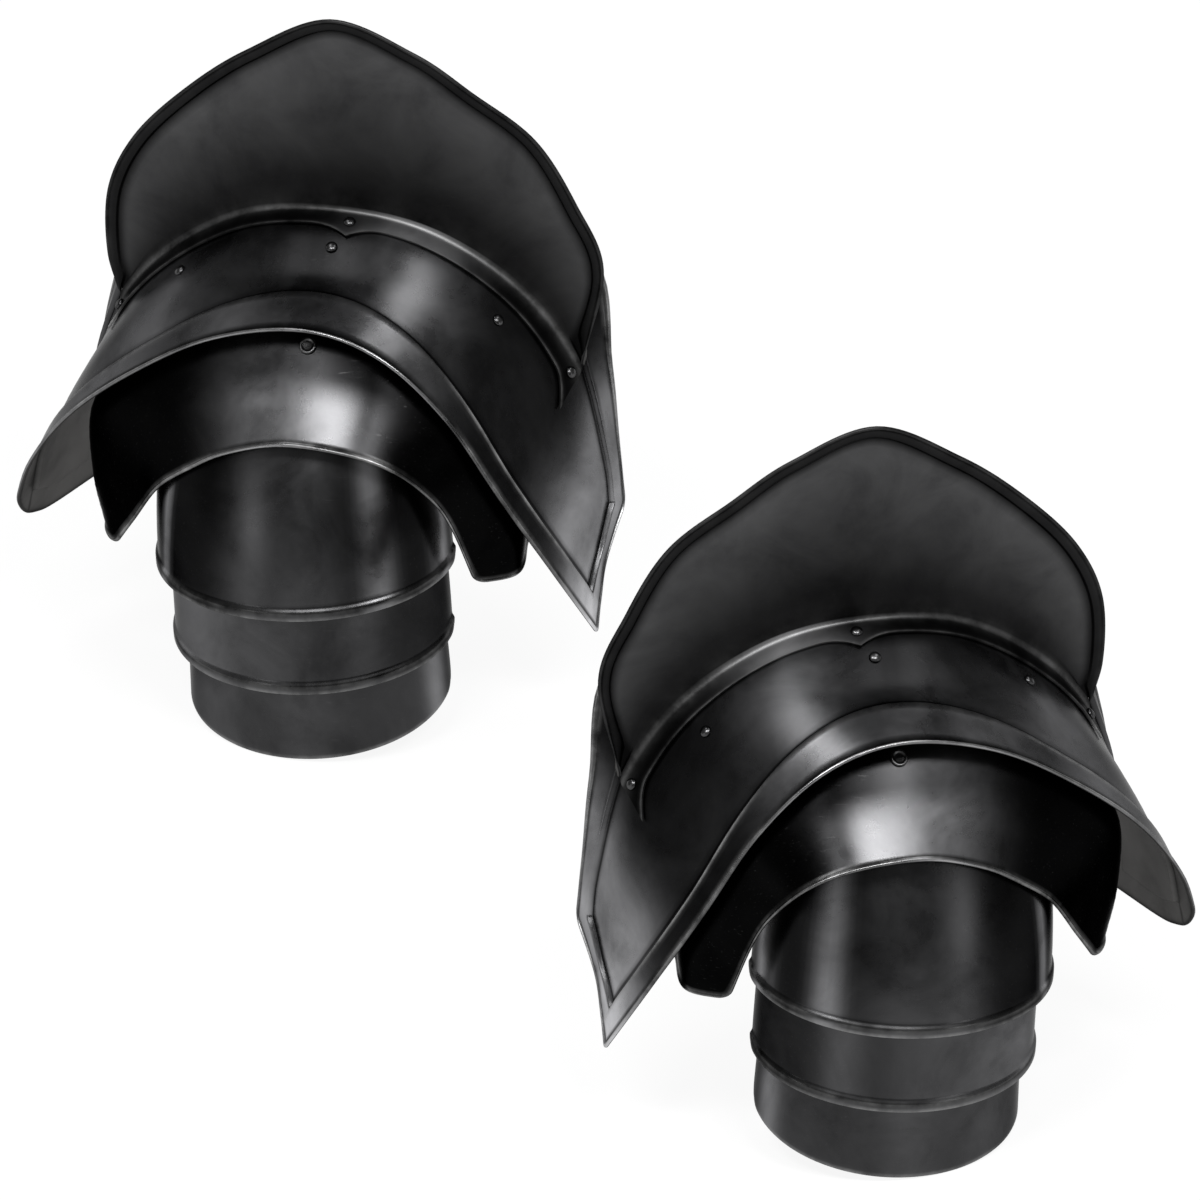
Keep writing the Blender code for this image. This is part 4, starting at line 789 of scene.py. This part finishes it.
def flange_spot(share, down_by):
    """Point and normal on the flange at a distance below the crease."""
    crease = HAUTE_START_SHARE + (HAUTE_END_SHARE - HAUTE_START_SHARE) * share
    u, v = moved(shoulder_surface, crease, CREASE_V, 0.0, down_by)
    return spot_on(shoulder_surface, u, v, HAUTE_SEAT + SHEET - BORDER_RISE)


def haute_piece_fine():
    columns, inner_rows = HAUTE_FINE
    shares = np.linspace(0, 1, columns)
    outline = net_point(HAUTE_NET, shares, 0.0)
    crease = flange_spot(shares, 0.0)[0]
    rays = crease - outline
    lengths = np.linalg.norm(rays, axis=1)
    tangent = unit(np.gradient(outline, axis=0))
    slant = np.linalg.norm(np.cross(tangent, unit(rays)), axis=1)
    bands = np.array(fine_band(HEM_PLACES + step_places(HAUTE_BORDER, HAUTE_BORDER_SLOPE)))
    wanted = bands[:, None] / slant
    wanted = wanted * np.minimum(
        1, (lengths - HAUTE_BEND) * HAUTE_SHORTEST_SHARE / wanted[-1])
    inner = np.linspace(0, 1, inner_rows + 2)[1:, None]
    upright = np.concatenate([
        wanted, wanted[-1] + (lengths - HAUTE_BEND - wanted[-1]) * inner])
    rows = [outline + rays * (run / lengths)[:, None] for run in upright]
    above, bend = rows[-1], flange_spot(shares, HAUTE_BEND)[0]
    for t in np.linspace(0, 1, HAUTE_BEND_STEPS + 2)[1:]:
        rows.append((1 - t) ** 2 * above + 2 * t * (1 - t) * crease + t * t * bend)
    for part in np.linspace(0, 1, HAUTE_FLANGE_ROWS + 1)[1:]:
        reach = HAUTE_BEND + (flange_width(shares) - HAUTE_BEND) * part
        rows.append(flange_spot(shares, reach)[0])
    points = np.stack(rows)
    edge = np.full(points.shape[:2], HAUTE_RISE)
    edge[:len(bands)] = bands[:, None]
    edge[len(bands):len(upright)] = bands[-1] + (upright[len(bands):] - wanted[-1]) * slant
    outer, low = rolled_edge(edge)
    sunk = stepped(edge, HAUTE_BORDER, HAUTE_BORDER_SLOPE, HAUTE_BORDER_RISE)
    row = np.arange(len(points))[:, None]
    below = row >= len(bands)
    sunk = np.where(
        below, sunk * smooth((len(upright) - 1 - row) / HAUTE_BORDER_FADE_ROWS), sunk)
    bent = crest(row, len(upright) + HAUTE_BEND_STEPS / 2, HAUTE_BEND_STEPS / 2)
    wear = np.maximum(HAUTE_RIM_WEAR * rim_wear(edge), EDGE_WEAR * bent)
    wear = np.maximum(wear, crest(row, len(points) - 1, HAUTE_FOOT_CREST_ROWS))
    # Painted light: painted shade at the foot growing to painted light at the top, painted shade
    # along the rim, and the foot's painted bands
    away = np.linalg.norm(points - crease, axis=-1) / lengths
    painted_light = HAUTE_FOOT_PAINTED_SHADE + (HAUTE_TOP_PAINTED_LIGHT - HAUTE_FOOT_PAINTED_SHADE) * np.clip(away, 0, 1)
    painted_light = painted_light * (1 - HAUTE_RIM_PAINTED_SHADE * smooth(2 - edge / HAUTE_BORDER))
    painted_light = np.where(row >= len(upright), plate_painted_light("haute_foot", shares, 0.0), painted_light)
    return points, outer + sunk, low + sunk, wear, painted_light


# Rivets, leathers and buckles


def rivet_fine(head, grip):
    radius, height, shares = RIVET_HEADS[head]
    burr_top = -grip - RIVET_BURR_ROOM
    profile = [(radius * r if r > STEP_SHARE else 0, GAP + height * h) for r, h in shares]
    if profile[-1][1] > GAP:
        profile.append((radius, GAP))
    profile += [(RIVET_SHANK, GAP), (RIVET_SHANK, burr_top)]
    profile += [(RIVET_BURR_RADIUS * r, burr_top - RIVET_BURR_HEIGHT * h)
                for r, h in (*RIVET_BURR_SHARES, (0, 1.0))]
    return revolved(profile)


def leather_shares():
    """Surface shares of every plate's leather rivets, by stage and line."""
    shares = [SHOULDER_RIVET_SHARES]
    for surface in STAGE_SURFACES[1:]:
        arch = surface is arch_surface
        inset = ARCH_RIVET_INSET if arch else ARM_RIVET_INSET
        shares.append([moved(surface, u, 0.0, 0.0, inset)
                       for u in (ARCH_RIVET_SHARES if arch else ARM_RIVET_SHARES)])
    return shares


LEATHER_SHARES = leather_shares()


def rounded_strip(rows, way, thickness):
    """Closed strip from rows of three points, its long edges rounded."""
    left, middle, right = rows[:, 0], rows[:, 1], rows[:, 2]
    top = np.stack([middle + ((right if place > 0 else left) - middle) * abs(place)
                    for place in LEATHER_ACROSS], 1)
    way = way[:, 1:2]
    rounding = LEATHER_ROUND * np.abs(LEATHER_ACROSS) ** LEATHER_ROUND_POWER
    rounding = rounding[None, :, None]
    return solid_from_grids(top + way * rounding, top + way * (thickness - rounding))


def under_face(stage, share, across, dive):
    """Point where a leather lies under a plate, off to one side of a share."""
    surface = STAGE_SURFACES[stage]
    u, v = moved(surface, *share, across, 0.0)
    return spot_on(surface, u, v, -(STAGE_SINKS[stage] + SHEET + LEATHER_ROOM + dive))[0]


def resampled(table, places):
    """Rows of a table at fractional places, eased where the line turns."""
    low = np.clip(np.floor(places).astype(int), 0, len(table) - 2)
    share = (places - low).reshape((-1,) + (1,) * (table.ndim - 1))
    line = table[low] * (1 - share) + table[low + 1] * share
    for _ in range(2):
        line[1:-1] = (line[:-2] + 2 * line[1:-1] + line[2:]) / 4
    return line


def leather_pieces(line, last):
    """The lengths of one leather between its rivets: rows, ways in and the rivets' places."""
    stops, marks = [], []
    for stage in range(last + 1):
        share = LEATHER_SHARES[stage][line]
        if stage > 0:
            stops.append((stage, (share[0], 0.0), LEATHER_DIVE))
        below = [-LEATHER_LEAD] if stage == 0 else []
        below += [-LEATHER_SEAT, 0.0, LEATHER_SEAT]
        below += [LEATHER_LEAD] if stage == last else LEATHER_STOPS[stage]
        marks.append(len(stops) + below.index(0.0))
        stops += [(stage, moved(STAGE_SURFACES[stage], *share, 0.0, down_by), 0.0)
                  for down_by in below]
    rows = np.array([[under_face(stage, share, across, dive)
                      for across in (-LEATHER_WIDTH / 2, 0.0, LEATHER_WIDTH / 2)]
                     for stage, share, dive in stops])
    ways = -grid_normals(rows)
    for k, (here, after) in enumerate(zip(marks, marks[1:])):
        start = 0 if k == 0 else here
        end = len(stops) - 1 if k == last - 1 else after
        places = np.linspace(0, end - start, (end - start) * LEATHER_STEPS + 1)
        fine = [resampled(table[start:end + 1], places) for table in (rows, ways)]
        yield fine[0], unit(fine[1]), np.array([rows[here, 1], rows[after, 1]])


def arm_ring(degrees, inset):
    """Point, tangent and outward normal on the strap's ring inside the lowest lame."""
    angle = math.radians(degrees)
    half_width = ARM_HALF_WIDTH - ARM_INSETS[-1]
    depth = ARM_DEPTH - ARM_INSETS[-1]
    point = np.array([half_width * math.sin(angle) + ARM_LAME_SHIFT * LOWEST_LAME,
                      -depth * math.cos(angle), STRAP_HEIGHT_Z])
    tangent = unit(np.array([half_width * math.cos(angle), depth * math.sin(angle), 0.0]))
    normal = np.array([tangent[1], -tangent[0], 0.0])
    return point - normal * inset, tangent, normal


def strap_rise(degrees):
    """How far the strap stands out as it climbs over the buckle's bar."""
    climbed = (BUCKLE_DEG + STRAP_CLIMB_DEG - degrees) / STRAP_CLIMB_DEG
    return STRAP_CLIMB * min(max(climbed, 0.0), 1.0)


def strap_inset(degrees):
    return STRAP_INSET + STRAP_THICKNESS / 2 - strap_rise(degrees)


# Depths inside the lowest lame's face: the strap and the chape lie under the
# leathers' ends, and the buckle's bar lies between the chape's two layers. The
# frame's slope carries its free bar clear over the strap
STRAP_INSET = SHEET + LEATHER_ROOM + LEATHER_THICKNESS + LEATHER_ROOM
BUCKLE_INSET = STRAP_INSET + CHAPE_THICKNESS + GAP / 2
CHAPE_LOOP_RADIUS = BUCKLE_BAR_RADIUS + GAP + CHAPE_THICKNESS / 2
STRAP_CLIMB = (CHAPE_LOOP_RADIUS + CHAPE_THICKNESS / 2 + GAP + STRAP_THICKNESS
               + STRAP_INSET - BUCKLE_INSET)
BUCKLE_POINT, BUCKLE_TANGENT, BUCKLE_NORMAL = arm_ring(BUCKLE_DEG, BUCKLE_INSET)
BUCKLE_TILT = math.asin((
    BUCKLE_INSET - STRAP_INSET + 2 * GAP + BUCKLE_BAR_RADIUS
    + strap_rise(BUCKLE_DEG + math.degrees(BUCKLE_LENGTH / ARM_DEPTH))) / BUCKLE_LENGTH)


def in_buckle(along, out, across=0.0):
    """Point at distances from the middle of the buckle's bar."""
    local = BUCKLE_POINT + BUCKLE_TANGENT * along + BUCKLE_NORMAL * out
    return arm_to_shoulder(local + (0.0, 0.0, across))


def fine_ribbon(line, thickness):
    """Strip with rounded edges around a line in the ring's plane."""
    line = np.array(line)
    heading = unit(np.gradient(line, axis=0))
    sideways = np.stack([heading[:, 1], -heading[:, 0], 0 * heading[:, 0]], -1)
    top = line + sideways * thickness / 2
    half_width = np.array([0.0, 0.0, STRAP_WIDTH / 2])
    rows = arm_to_shoulder(np.stack([top + half_width, top, top - half_width], 1))
    return rounded_strip(rows, arm_to_shoulder(np.stack([-sideways] * 3, 1)), thickness)


def strap_line():
    return [arm_ring(degrees, strap_inset(degrees))[0]
            for degrees in np.linspace(360 - STRAP_START_DEG, STRAP_END_DEG, STRAP_FINE)]


def chape_line():
    approach = np.linspace(STRAP_START_DEG, BUCKLE_DEG - CHAPE_LEAD_DEG, CHAPE_FINE)
    outer_inset = STRAP_INSET + CHAPE_THICKNESS / 2
    inner_inset = outer_inset + CHAPE_THICKNESS + GAP
    line = [arm_ring(degrees, outer_inset)[0] for degrees in approach]
    for degrees in np.linspace(-CHAPE_LOOP_DEG / 2, CHAPE_LOOP_DEG / 2, LOOP_FINE):
        turn = math.radians(degrees)
        way = math.cos(turn) * BUCKLE_TANGENT - math.sin(turn) * BUCKLE_NORMAL
        line.append(BUCKLE_POINT + way * CHAPE_LOOP_RADIUS)
    return line + [arm_ring(degrees, inner_inset)[0] for degrees in approach[::-1]]


def buckle_frame_fine():
    centres = []
    for quarter in range(4):
        along = BUCKLE_LENGTH - BUCKLE_CORNER if quarter in (1, 2) else BUCKLE_CORNER
        across = (BUCKLE_WIDTH / 2 - BUCKLE_CORNER) * (1 if quarter in (2, 3) else -1)
        for share in np.linspace(0, 1, BUCKLE_CORNER_FINE):
            turn = math.pi + (quarter + share) * math.pi / 2
            a = along + BUCKLE_CORNER * math.cos(turn)
            c = across + BUCKLE_CORNER * math.sin(turn)
            centres.append(in_buckle(a * math.cos(BUCKLE_TILT), a * math.sin(BUCKLE_TILT), c))
    return tube(centres, BUCKLE_BAR_RADIUS, True)


def prong_fine():
    stand = BUCKLE_BAR_RADIUS + 2 * GAP + PRONG_RADIUS
    centres = [in_buckle(stand * math.cos(turn), stand * math.sin(turn))
               for turn in np.linspace(*np.radians(PRONG_EYE_DEGS), LOOP_FINE)]
    along = BUCKLE_LENGTH * math.cos(BUCKLE_TILT) + PRONG_OVERHANG
    centres.append(in_buckle(along, BUCKLE_LENGTH * math.sin(BUCKLE_TILT) + stand))
    return tube(centres, PRONG_RADIUS, False)


# Materials. Scales are in features per metre; a triple stretches them along X, Y, Z
MOTTLE_SCALE = 70.0
GRAIN_SCALE = 1500.0
HAIR_SCALES = (60.0, 1400.0, 900.0)
HAIR_TURN = 0.5
GREY_SHARE = 0.35
SCRATCH_SHARE = 0.03
MOTTLE_ROUGHNESS = 0.025
EDGE_TINT = 0.45
STAIN_SCALE = 35.0
PEBBLE_SCALE = 900.0
PORE_SCALE = 2200.0
CREASE_SCALES = (160.0, 160.0, 520.0)


class Tree:
    """Node tree of one material, with a short way to add nodes."""

    def __init__(self, name):
        self.made = bpy.data.materials.new(name)
        self.made.use_nodes = True
        self.shader = self.made.node_tree.nodes["Principled BSDF"]

    @cached_property
    def place(self):
        return self.add("TexCoord").outputs["Object"]

    def wire(self, node, links):
        """Sets a node's sockets to values and plain colours, or links them to others."""
        for name, value in links.items():
            socket = node.inputs[name]
            if isinstance(value, bpy.types.NodeSocket):
                self.made.node_tree.links.new(value, socket)
            else:
                socket.default_value = (*value, 1.0) if socket.type == "RGBA" else value
        return node

    def add(self, kind, links=(), **settings):
        node = self.made.node_tree.nodes.new("ShaderNode" + kind)
        for key, value in settings.items():
            setattr(node, key, value)
        return self.wire(node, dict(links))

    def noise(self, scale, detail=4.0, rough=0.55, distortion=0.0, place=None):
        return self.add("TexNoise", {
            "Vector": place or self.place, "Scale": scale, "Detail": detail,
            "Roughness": rough, "Distortion": distortion}).outputs["Fac"]

    def stretched(self, scales, turn=0.0):
        return self.add("Mapping", {"Vector": self.place, "Rotation": (0.0, turn, turn),
                                    "Scale": scales}).outputs[0]

    def spread(self, value, low, high, to_low=0.0, to_high=1.0):
        return self.add("MapRange", {"Value": value, "From Min": low, "From Max": high,
                                     "To Min": to_low, "To Max": to_high}).outputs[0]

    def attribute(self, name):
        return self.add("Attribute", attribute_name=name).outputs["Fac"]

    def maths(self, how, a, b):
        return self.add("Math", {0: a, 1: b}, operation=how).outputs[0]

    def mix(self, share, a, b):
        return self.add("Mix", {0: share, 6: a, 7: b}, data_type="RGBA").outputs[2]

    def bump(self, height, strength, distance, below=None):
        links = {"Height": height, "Strength": strength, "Distance": distance}
        if below is not None:
            links["Normal"] = below
        return self.add("Bump", links).outputs[0]

    def finish(self, colour, roughness, normal, **constants):
        self.wire(self.shader, {"Base Color": colour, "Roughness": roughness, "Normal": normal})
        self.wire(self.shader, constants)
        return self.made


def steel(name, dark, grey, worn, smooth_at, rough_at, cloud_scale):
    """Blackened steel: clouded oxide, hairlines, fine grain and rubbed edges; its colour is scaled
    by painted highlights and painted shade.
    """
    t = Tree(name)
    clouds = t.noise(cloud_scale, 5.0, 0.6, 0.6)
    mottle = t.noise(MOTTLE_SCALE, 5.0, 0.6)
    grain = t.noise(GRAIN_SCALE, 2.0, 0.5)
    hair = t.noise(1.0, 2.0, 0.5, 0.0, t.stretched(HAIR_SCALES, HAIR_TURN))
    hairline = t.spread(hair, 0.66, 0.74)
    colour = t.mix(t.spread(clouds, 0.35, 0.72), dark, grey)
    colour = t.mix(t.maths("MULTIPLY", t.spread(mottle, 0.40, 0.70), GREY_SHARE), colour, grey)
    # Colour scaled by each point's painted light: painted highlights and painted shade
    colour = t.add("VectorMath", {0: colour, "Scale": t.attribute("painted_light")}, operation="SCALE")
    rubbed = t.maths("MULTIPLY", t.attribute("wear"), t.spread(mottle, 0.30, 0.62, 0.15, 1.0))
    rubbed = t.maths("MULTIPLY", rubbed, t.spread(clouds, 0.30, 0.65, 0.35, 1.0))
    scratched = t.maths("MULTIPLY", hairline, SCRATCH_SHARE)
    colour = t.mix(t.maths("MAXIMUM", rubbed, scratched), colour.outputs[0], (worn,) * 3)
    roughness = t.spread(clouds, 0.30, 0.75, smooth_at, rough_at)
    roughness = t.maths("ADD", roughness, t.spread(
        mottle, 0.3, 0.7, -MOTTLE_ROUGHNESS, MOTTLE_ROUGHNESS))
    normal = t.bump(grain, 0.10, 0.00010)
    normal = t.bump(mottle, 0.16, 0.0004, normal)
    normal = t.bump(hairline, 0.12, 0.00006, normal)
    return t.finish(colour, roughness, normal, **{
        "Metallic": 1.0, "Specular Tint": (EDGE_TINT,) * 3})


def leather(name, dark, light):
    """Oiled harness leather: pebbled grain, creases and lighter rubbed places."""
    t = Tree(name)
    clouds = t.noise(STAIN_SCALE, 5.0, 0.6)
    pebbles = t.add("TexVoronoi", {"Vector": t.place, "Scale": PEBBLE_SCALE},
                    feature="DISTANCE_TO_EDGE").outputs["Distance"]
    pores = t.noise(PORE_SCALE, 3.0, 0.6)
    creases = t.noise(1.0, 4.0, 0.6, 0.8, t.stretched(CREASE_SCALES))
    colour = t.mix(t.spread(clouds, 0.35, 0.70), dark, light)
    colour = t.mix(t.spread(creases, 0.60, 0.72, 0.0, 0.5), colour, dark)
    roughness = t.spread(clouds, 0.3, 0.7, 0.52, 0.72)
    normal = t.bump(t.spread(pebbles, 0.0, 0.25), 0.35, 0.00012)
    normal = t.bump(pores, 0.15, 0.00006, normal)
    normal = t.bump(creases, 0.25, 0.0002, normal)
    return t.finish(colour, roughness, normal)


# Each steel: dark and grey oxide, bare metal, least and most roughness, cloud scale
PLATE_STEEL = steel("plate_steel", (0.034, 0.034, 0.035), (0.066, 0.066, 0.068),
                    0.30, 0.24, 0.34, 22.0)
HAUTE_STEEL = steel("guard_steel", (0.032, 0.032, 0.033), (0.062, 0.062, 0.063),
                    0.16, 0.44, 0.54, 22.0)
INNER_STEEL = steel("inner_steel", (0.060, 0.059, 0.058), (0.110, 0.108, 0.106),
                    0.20, 0.40, 0.56, 22.0)
RIVET_STEEL = steel("rivet_steel", (0.026, 0.026, 0.027), (0.050, 0.050, 0.052),
                    0.20, 0.22, 0.34, 60.0)
LEATHER = leather("leather", (0.018, 0.009, 0.005), (0.050, 0.026, 0.014))


# Building


def solid_mesh(name, points, faces):
    """Mesh of a closed body, its normals outward."""
    mesh = bpy.data.meshes.new(name)
    mesh.from_pydata(points.tolist(), [], [tuple(map(int, face)) for face in faces])
    tidy = bmesh.new()
    tidy.from_mesh(mesh)
    bmesh.ops.recalc_face_normals(tidy, faces=tidy.faces[:])
    tidy.to_mesh(mesh)
    tidy.free()
    return mesh


def linked(name, data):
    made = bpy.data.objects.new(name, data)
    bpy.context.scene.collection.objects.link(made)
    return made


def cut(piece, points, faces):
    """Cuts a body out of a piece, and leaves no modifier on it."""
    cutter = linked("cutter", solid_mesh("cutter", points, faces))
    modifier = piece.modifiers.new("cut", "BOOLEAN")
    modifier.operation = "DIFFERENCE"
    modifier.solver = "EXACT"
    modifier.object = cutter
    bpy.context.view_layer.update()
    graph = bpy.context.evaluated_depsgraph_get()
    result = bpy.data.meshes.new_from_object(piece.evaluated_get(graph))
    piece.modifiers.clear()
    piece.data = result
    bpy.data.objects.remove(cutter, do_unlink=True)


class Side:
    """One pauldron: where it stands and whether it is mirrored."""

    def __init__(self, name, sign):
        self.name = name
        self.sign = sign
        self.origin = sign * np.array([-PAULDRON_SPACING / 2, PAULDRON_STAGGER / 2, 0.0])

    def to_world(self, points):
        turn = -self.sign * math.radians(PAULDRON_YAW_DEG)
        return self.origin + turned(points * np.array((self.sign, 1, 1)), turn, 0, 1)

    def body(self, carrier):
        fixed = ("shoulder_plate", "haute_piece")
        return "shoulders" if carrier in fixed else f"{self.name}_{carrier}"

    def build(self, node, suffix, points, faces, slot, materials, wear=0.0, painted_light=1.0, finish=0):
        """Piece that stands for a node of this pauldron."""
        name = f"{self.name}_{node}{suffix}"
        mesh = solid_mesh(name, self.to_world(points), faces)
        for material in materials:
            mesh.materials.append(material)
        mesh.polygons.foreach_set("material_index", np.full(len(faces), finish))
        # Each point's wear, and its painted light: painted highlights and painted shade
        for layer, values in (("wear", wear), ("painted_light", painted_light)):
            data = mesh.attributes.new(layer, "FLOAT", "POINT").data
            data.foreach_set("value", np.full(len(points), values))
        mesh.shade_smooth()
        mesh.set_sharp_from_angle(angle=math.radians(SHARP_DEG))
        made = linked(name, mesh)
        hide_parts(f"{self.name}_{node}")
        return made

    def drill(self, piece, spots, radius, reach):
        """Cuts round holes through a piece."""
        points, faces = revolved([(0, reach), (radius, reach), (radius, -reach), (0, -reach)])
        bodies = [self.to_world(placed_at(points, *spot)) for spot in spots]
        cut(piece, np.concatenate(bodies), [
            [k + n * len(points) for k in face] for n in range(len(spots)) for face in faces])

    def cut_slot(self, piece, back, front, bottom, top, width):
        """Cuts the prong's slot around the buckle's bar."""
        grids = [np.array([[in_buckle(along, out, across) for across in (-width / 2, width / 2)]
                           for along in (-back, front)]) for out in (top, bottom)]
        points, faces = solid_from_grids(*grids)
        cut(piece, self.to_world(points), faces)


def build_plates(side):
    looks = {"shoulder_plate": shoulder_plate_fine(), "haute_piece": haute_piece_fine(),
             "arch_lame": arch_lame_fine()}
    looks.update({name: arm_lame_fine(name) for name in STAGE_NAMES[2:]})
    for seed, (name, look) in enumerate(looks.items()):
        points, faces, *finish = shell(*look, seed)
        outside = HAUTE_STEEL if name == "haute_piece" else PLATE_STEEL
        piece = side.build(name, "_sheet", points, faces, "plate_steel", (outside, INNER_STEEL),
                           *finish)
        if name == "shoulder_plate":
            holes = [moved(shoulder_surface, 0.5, 0.0, across, COLLAR_HOLE_INSET)
                     for across in (-COLLAR_HOLE_SPREAD, COLLAR_HOLE_SPREAD)]
            spots = [spot_on(shoulder_surface, *hole, -BORDER_RISE) for hole in holes]
            side.drill(piece, spots, COLLAR_HOLE_RADIUS, HOLE_REACH)
        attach(piece, side.body(name))


def build_rivets(side):
    seat = SHEET + HAUTE_SEAT
    wanted = [(f"haute_rivet_{name}", flange_spot(*place), "domed", 2 * seat, "haute_piece")
              for name, place in HAUTE_RIVETS.items()]
    end_grips = {"back": LEATHER_ROOM + STRAP_THICKNESS,
                 "front": LEATHER_ROOM + 2 * CHAPE_THICKNESS + GAP}
    for stage, (name, surface) in enumerate(STAGES.items()):
        for (line, names), share in zip(LEATHER_LINES.items(), LEATHER_SHARES[stage]):
            if name not in names:
                continue
            spot = spot_on(surface, *share, -STAGE_SINKS[stage])
            head = "domed" if stage == 0 else "flat"
            if (name, line) == ("arch_lame", "middle"):
                head = "disc"
            grip = SHEET + LEATHER_ROOM + LEATHER_THICKNESS
            grip += end_grips[line] if name == STAGE_NAMES[-1] else 0.0
            wanted.append((f"{name}_rivet_{line}", spot, head, grip, name))
    for node, spot, head, grip, carrier in wanted:
        points, faces = rivet_fine(head, grip)
        wear = np.clip(points[:, 2] / RIVET_HEADS[head][1], 0, 1) * RIVET_WEAR
        piece = side.build(node, "_head", placed_at(points, *spot), faces, "rivet_steel",
                           (RIVET_STEEL,), wear)
        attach(piece, side.body(carrier))


def build_leathers(side):
    for line, (name, names) in enumerate(LEATHER_LINES.items()):
        for k, (rows, way, ends) in enumerate(leather_pieces(line, len(names) - 1)):
            piece = side.build(f"{name}_leather", f"_{k + 1}",
                               *rounded_strip(rows, way, LEATHER_THICKNESS), "leather", (LEATHER,))
            side.body(names[k])
            side.body(names[k + 1])
            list(side.to_world(ends))
            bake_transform(piece)


def build_strap(side):
    strap, chape = (
        side.build(node, "_leather", *fine_ribbon(line, thickness), "leather", (LEATHER,))
        for node, line, thickness in (("arm_strap", strap_line(), STRAP_THICKNESS),
                                      ("buckle_chape", chape_line(), CHAPE_THICKNESS)))
    side.cut_slot(strap, *STRAP_SLOT)
    side.cut_slot(chape, *CHAPE_SLOT)
    holes = []
    for degrees in BUCKLE_DEG + np.array(STRAP_HOLE_DEGS):
        point, _, normal = arm_ring(degrees, strap_inset(degrees))
        holes.append((arm_to_shoulder(point), arm_to_shoulder(normal)))
    side.drill(strap, holes, STRAP_HOLE_RADIUS, STRAP_THICKNESS)
    for piece in (strap, chape):
        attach(piece, side.body(STAGE_NAMES[-1]))
    for node, solid in (("buckle_frame", buckle_frame_fine()), ("buckle_prong", prong_fine())):
        piece = side.build(node, "_wire", *solid, "rivet_steel", (RIVET_STEEL,))
        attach(piece, side.body(node))


def softbox(name, sign, azimuth, elevation, width_deg, height_deg, radiance):
    """Area lamp towards the object; azimuth 0 is the viewer's side and 90 the right."""
    lamp = bpy.data.lights.new(name, "AREA")
    lamp.shape = "RECTANGLE"
    lamp.size = 2 * LIGHT_DISTANCE * math.tan(math.radians(width_deg / 2))
    lamp.size_y = 2 * LIGHT_DISTANCE * math.tan(math.radians(height_deg / 2))
    lamp.energy = radiance * lamp.size * lamp.size_y * math.pi
    a, e = math.radians(azimuth), math.radians(elevation)
    way = Vector((sign * math.sin(a) * math.cos(e), -math.cos(a) * math.cos(e), math.sin(e)))
    made = linked(name, lamp)
    made.location = LIGHT_CENTRE + way * LIGHT_DISTANCE
    made.rotation_mode = "QUATERNION"
    made.rotation_quaternion = (-way).to_track_quat("-Z", "Y")
    made.visible_camera = False


def build_stage():
    """White floor that the camera and reflections see lit through, with a faint shadow."""
    t = Tree("floor")
    t.wire(t.shader, {"Base Color": (FLOOR_COLOUR,) * 3, "Roughness": FLOOR_ROUGHNESS,
                      "Specular IOR Level": FLOOR_SHINE})
    path = t.add("LightPath").outputs
    seen = path["Is Camera Ray"]
    for name in ("Is Glossy Ray", "Is Transmission Ray"):
        seen = t.maths("MAXIMUM", seen, path[name])
    glow = t.add("Emission", {"Color": (1.0, 1.0, 1.0)})
    mixed = t.add("MixShader", {0: t.maths("MULTIPLY", seen, FLOOR_GLOW_SHARE),
                                1: t.shader.outputs[0], 2: glow.outputs[0]})
    t.wire(t.made.node_tree.nodes["Material Output"], {"Surface": mixed.outputs[0]})
    lowest = CAD_BOX[0].z - GAP
    mesh = bpy.data.meshes.new("floor")
    mesh.from_pydata([(FLOOR_REACH * x, FLOOR_REACH * y, lowest)
                      for x, y in ((-1, -1), (1, -1), (1, 1), (-1, 1))], [], [(0, 1, 2, 3)])
    mesh.materials.append(t.made)
    linked("floor", mesh)


def build_world():
    world = bpy.data.worlds.new("studio")
    bpy.context.scene.world = world
    world.use_nodes = True
    colour = world.node_tree.nodes["Background"].inputs["Color"]
    colour.default_value = (WORLD_LEVEL, WORLD_LEVEL, WORLD_LEVEL, 1.0)


def build_camera():
    camera = bpy.data.cameras.new("camera")
    camera.sensor_width = SENSOR_WIDTH
    camera.lens = SENSOR_WIDTH * CAMERA_DISTANCE / CAMERA_FRAME_WIDTH
    camera.clip_start, camera.clip_end = (CAMERA_DISTANCE * share for share in CAMERA_CLIP_SHARES)
    made = linked("camera", camera)
    way = Vector((0.0, -math.cos(CAMERA_TILT), math.sin(CAMERA_TILT)))
    made.location = CAMERA_CENTRE + way * CAMERA_DISTANCE
    made.rotation_euler = (math.pi / 2 - CAMERA_TILT, 0.0, 0.0)
    bpy.context.scene.camera = made


for side_name, sign in (("right", 1), ("left", -1)):
    side = Side(side_name, sign)
    for build in (build_plates, build_rivets, build_leathers, build_strap):
        build(side)
build_world()
build_stage()
build_camera()
for box_name, box in SOFTBOXES.items():
    softbox(f"right_{box_name}", 1, *box)
    softbox(f"left_{box_name}", -1, *box)
bpy.context.scene.view_settings.view_transform = "Standard"
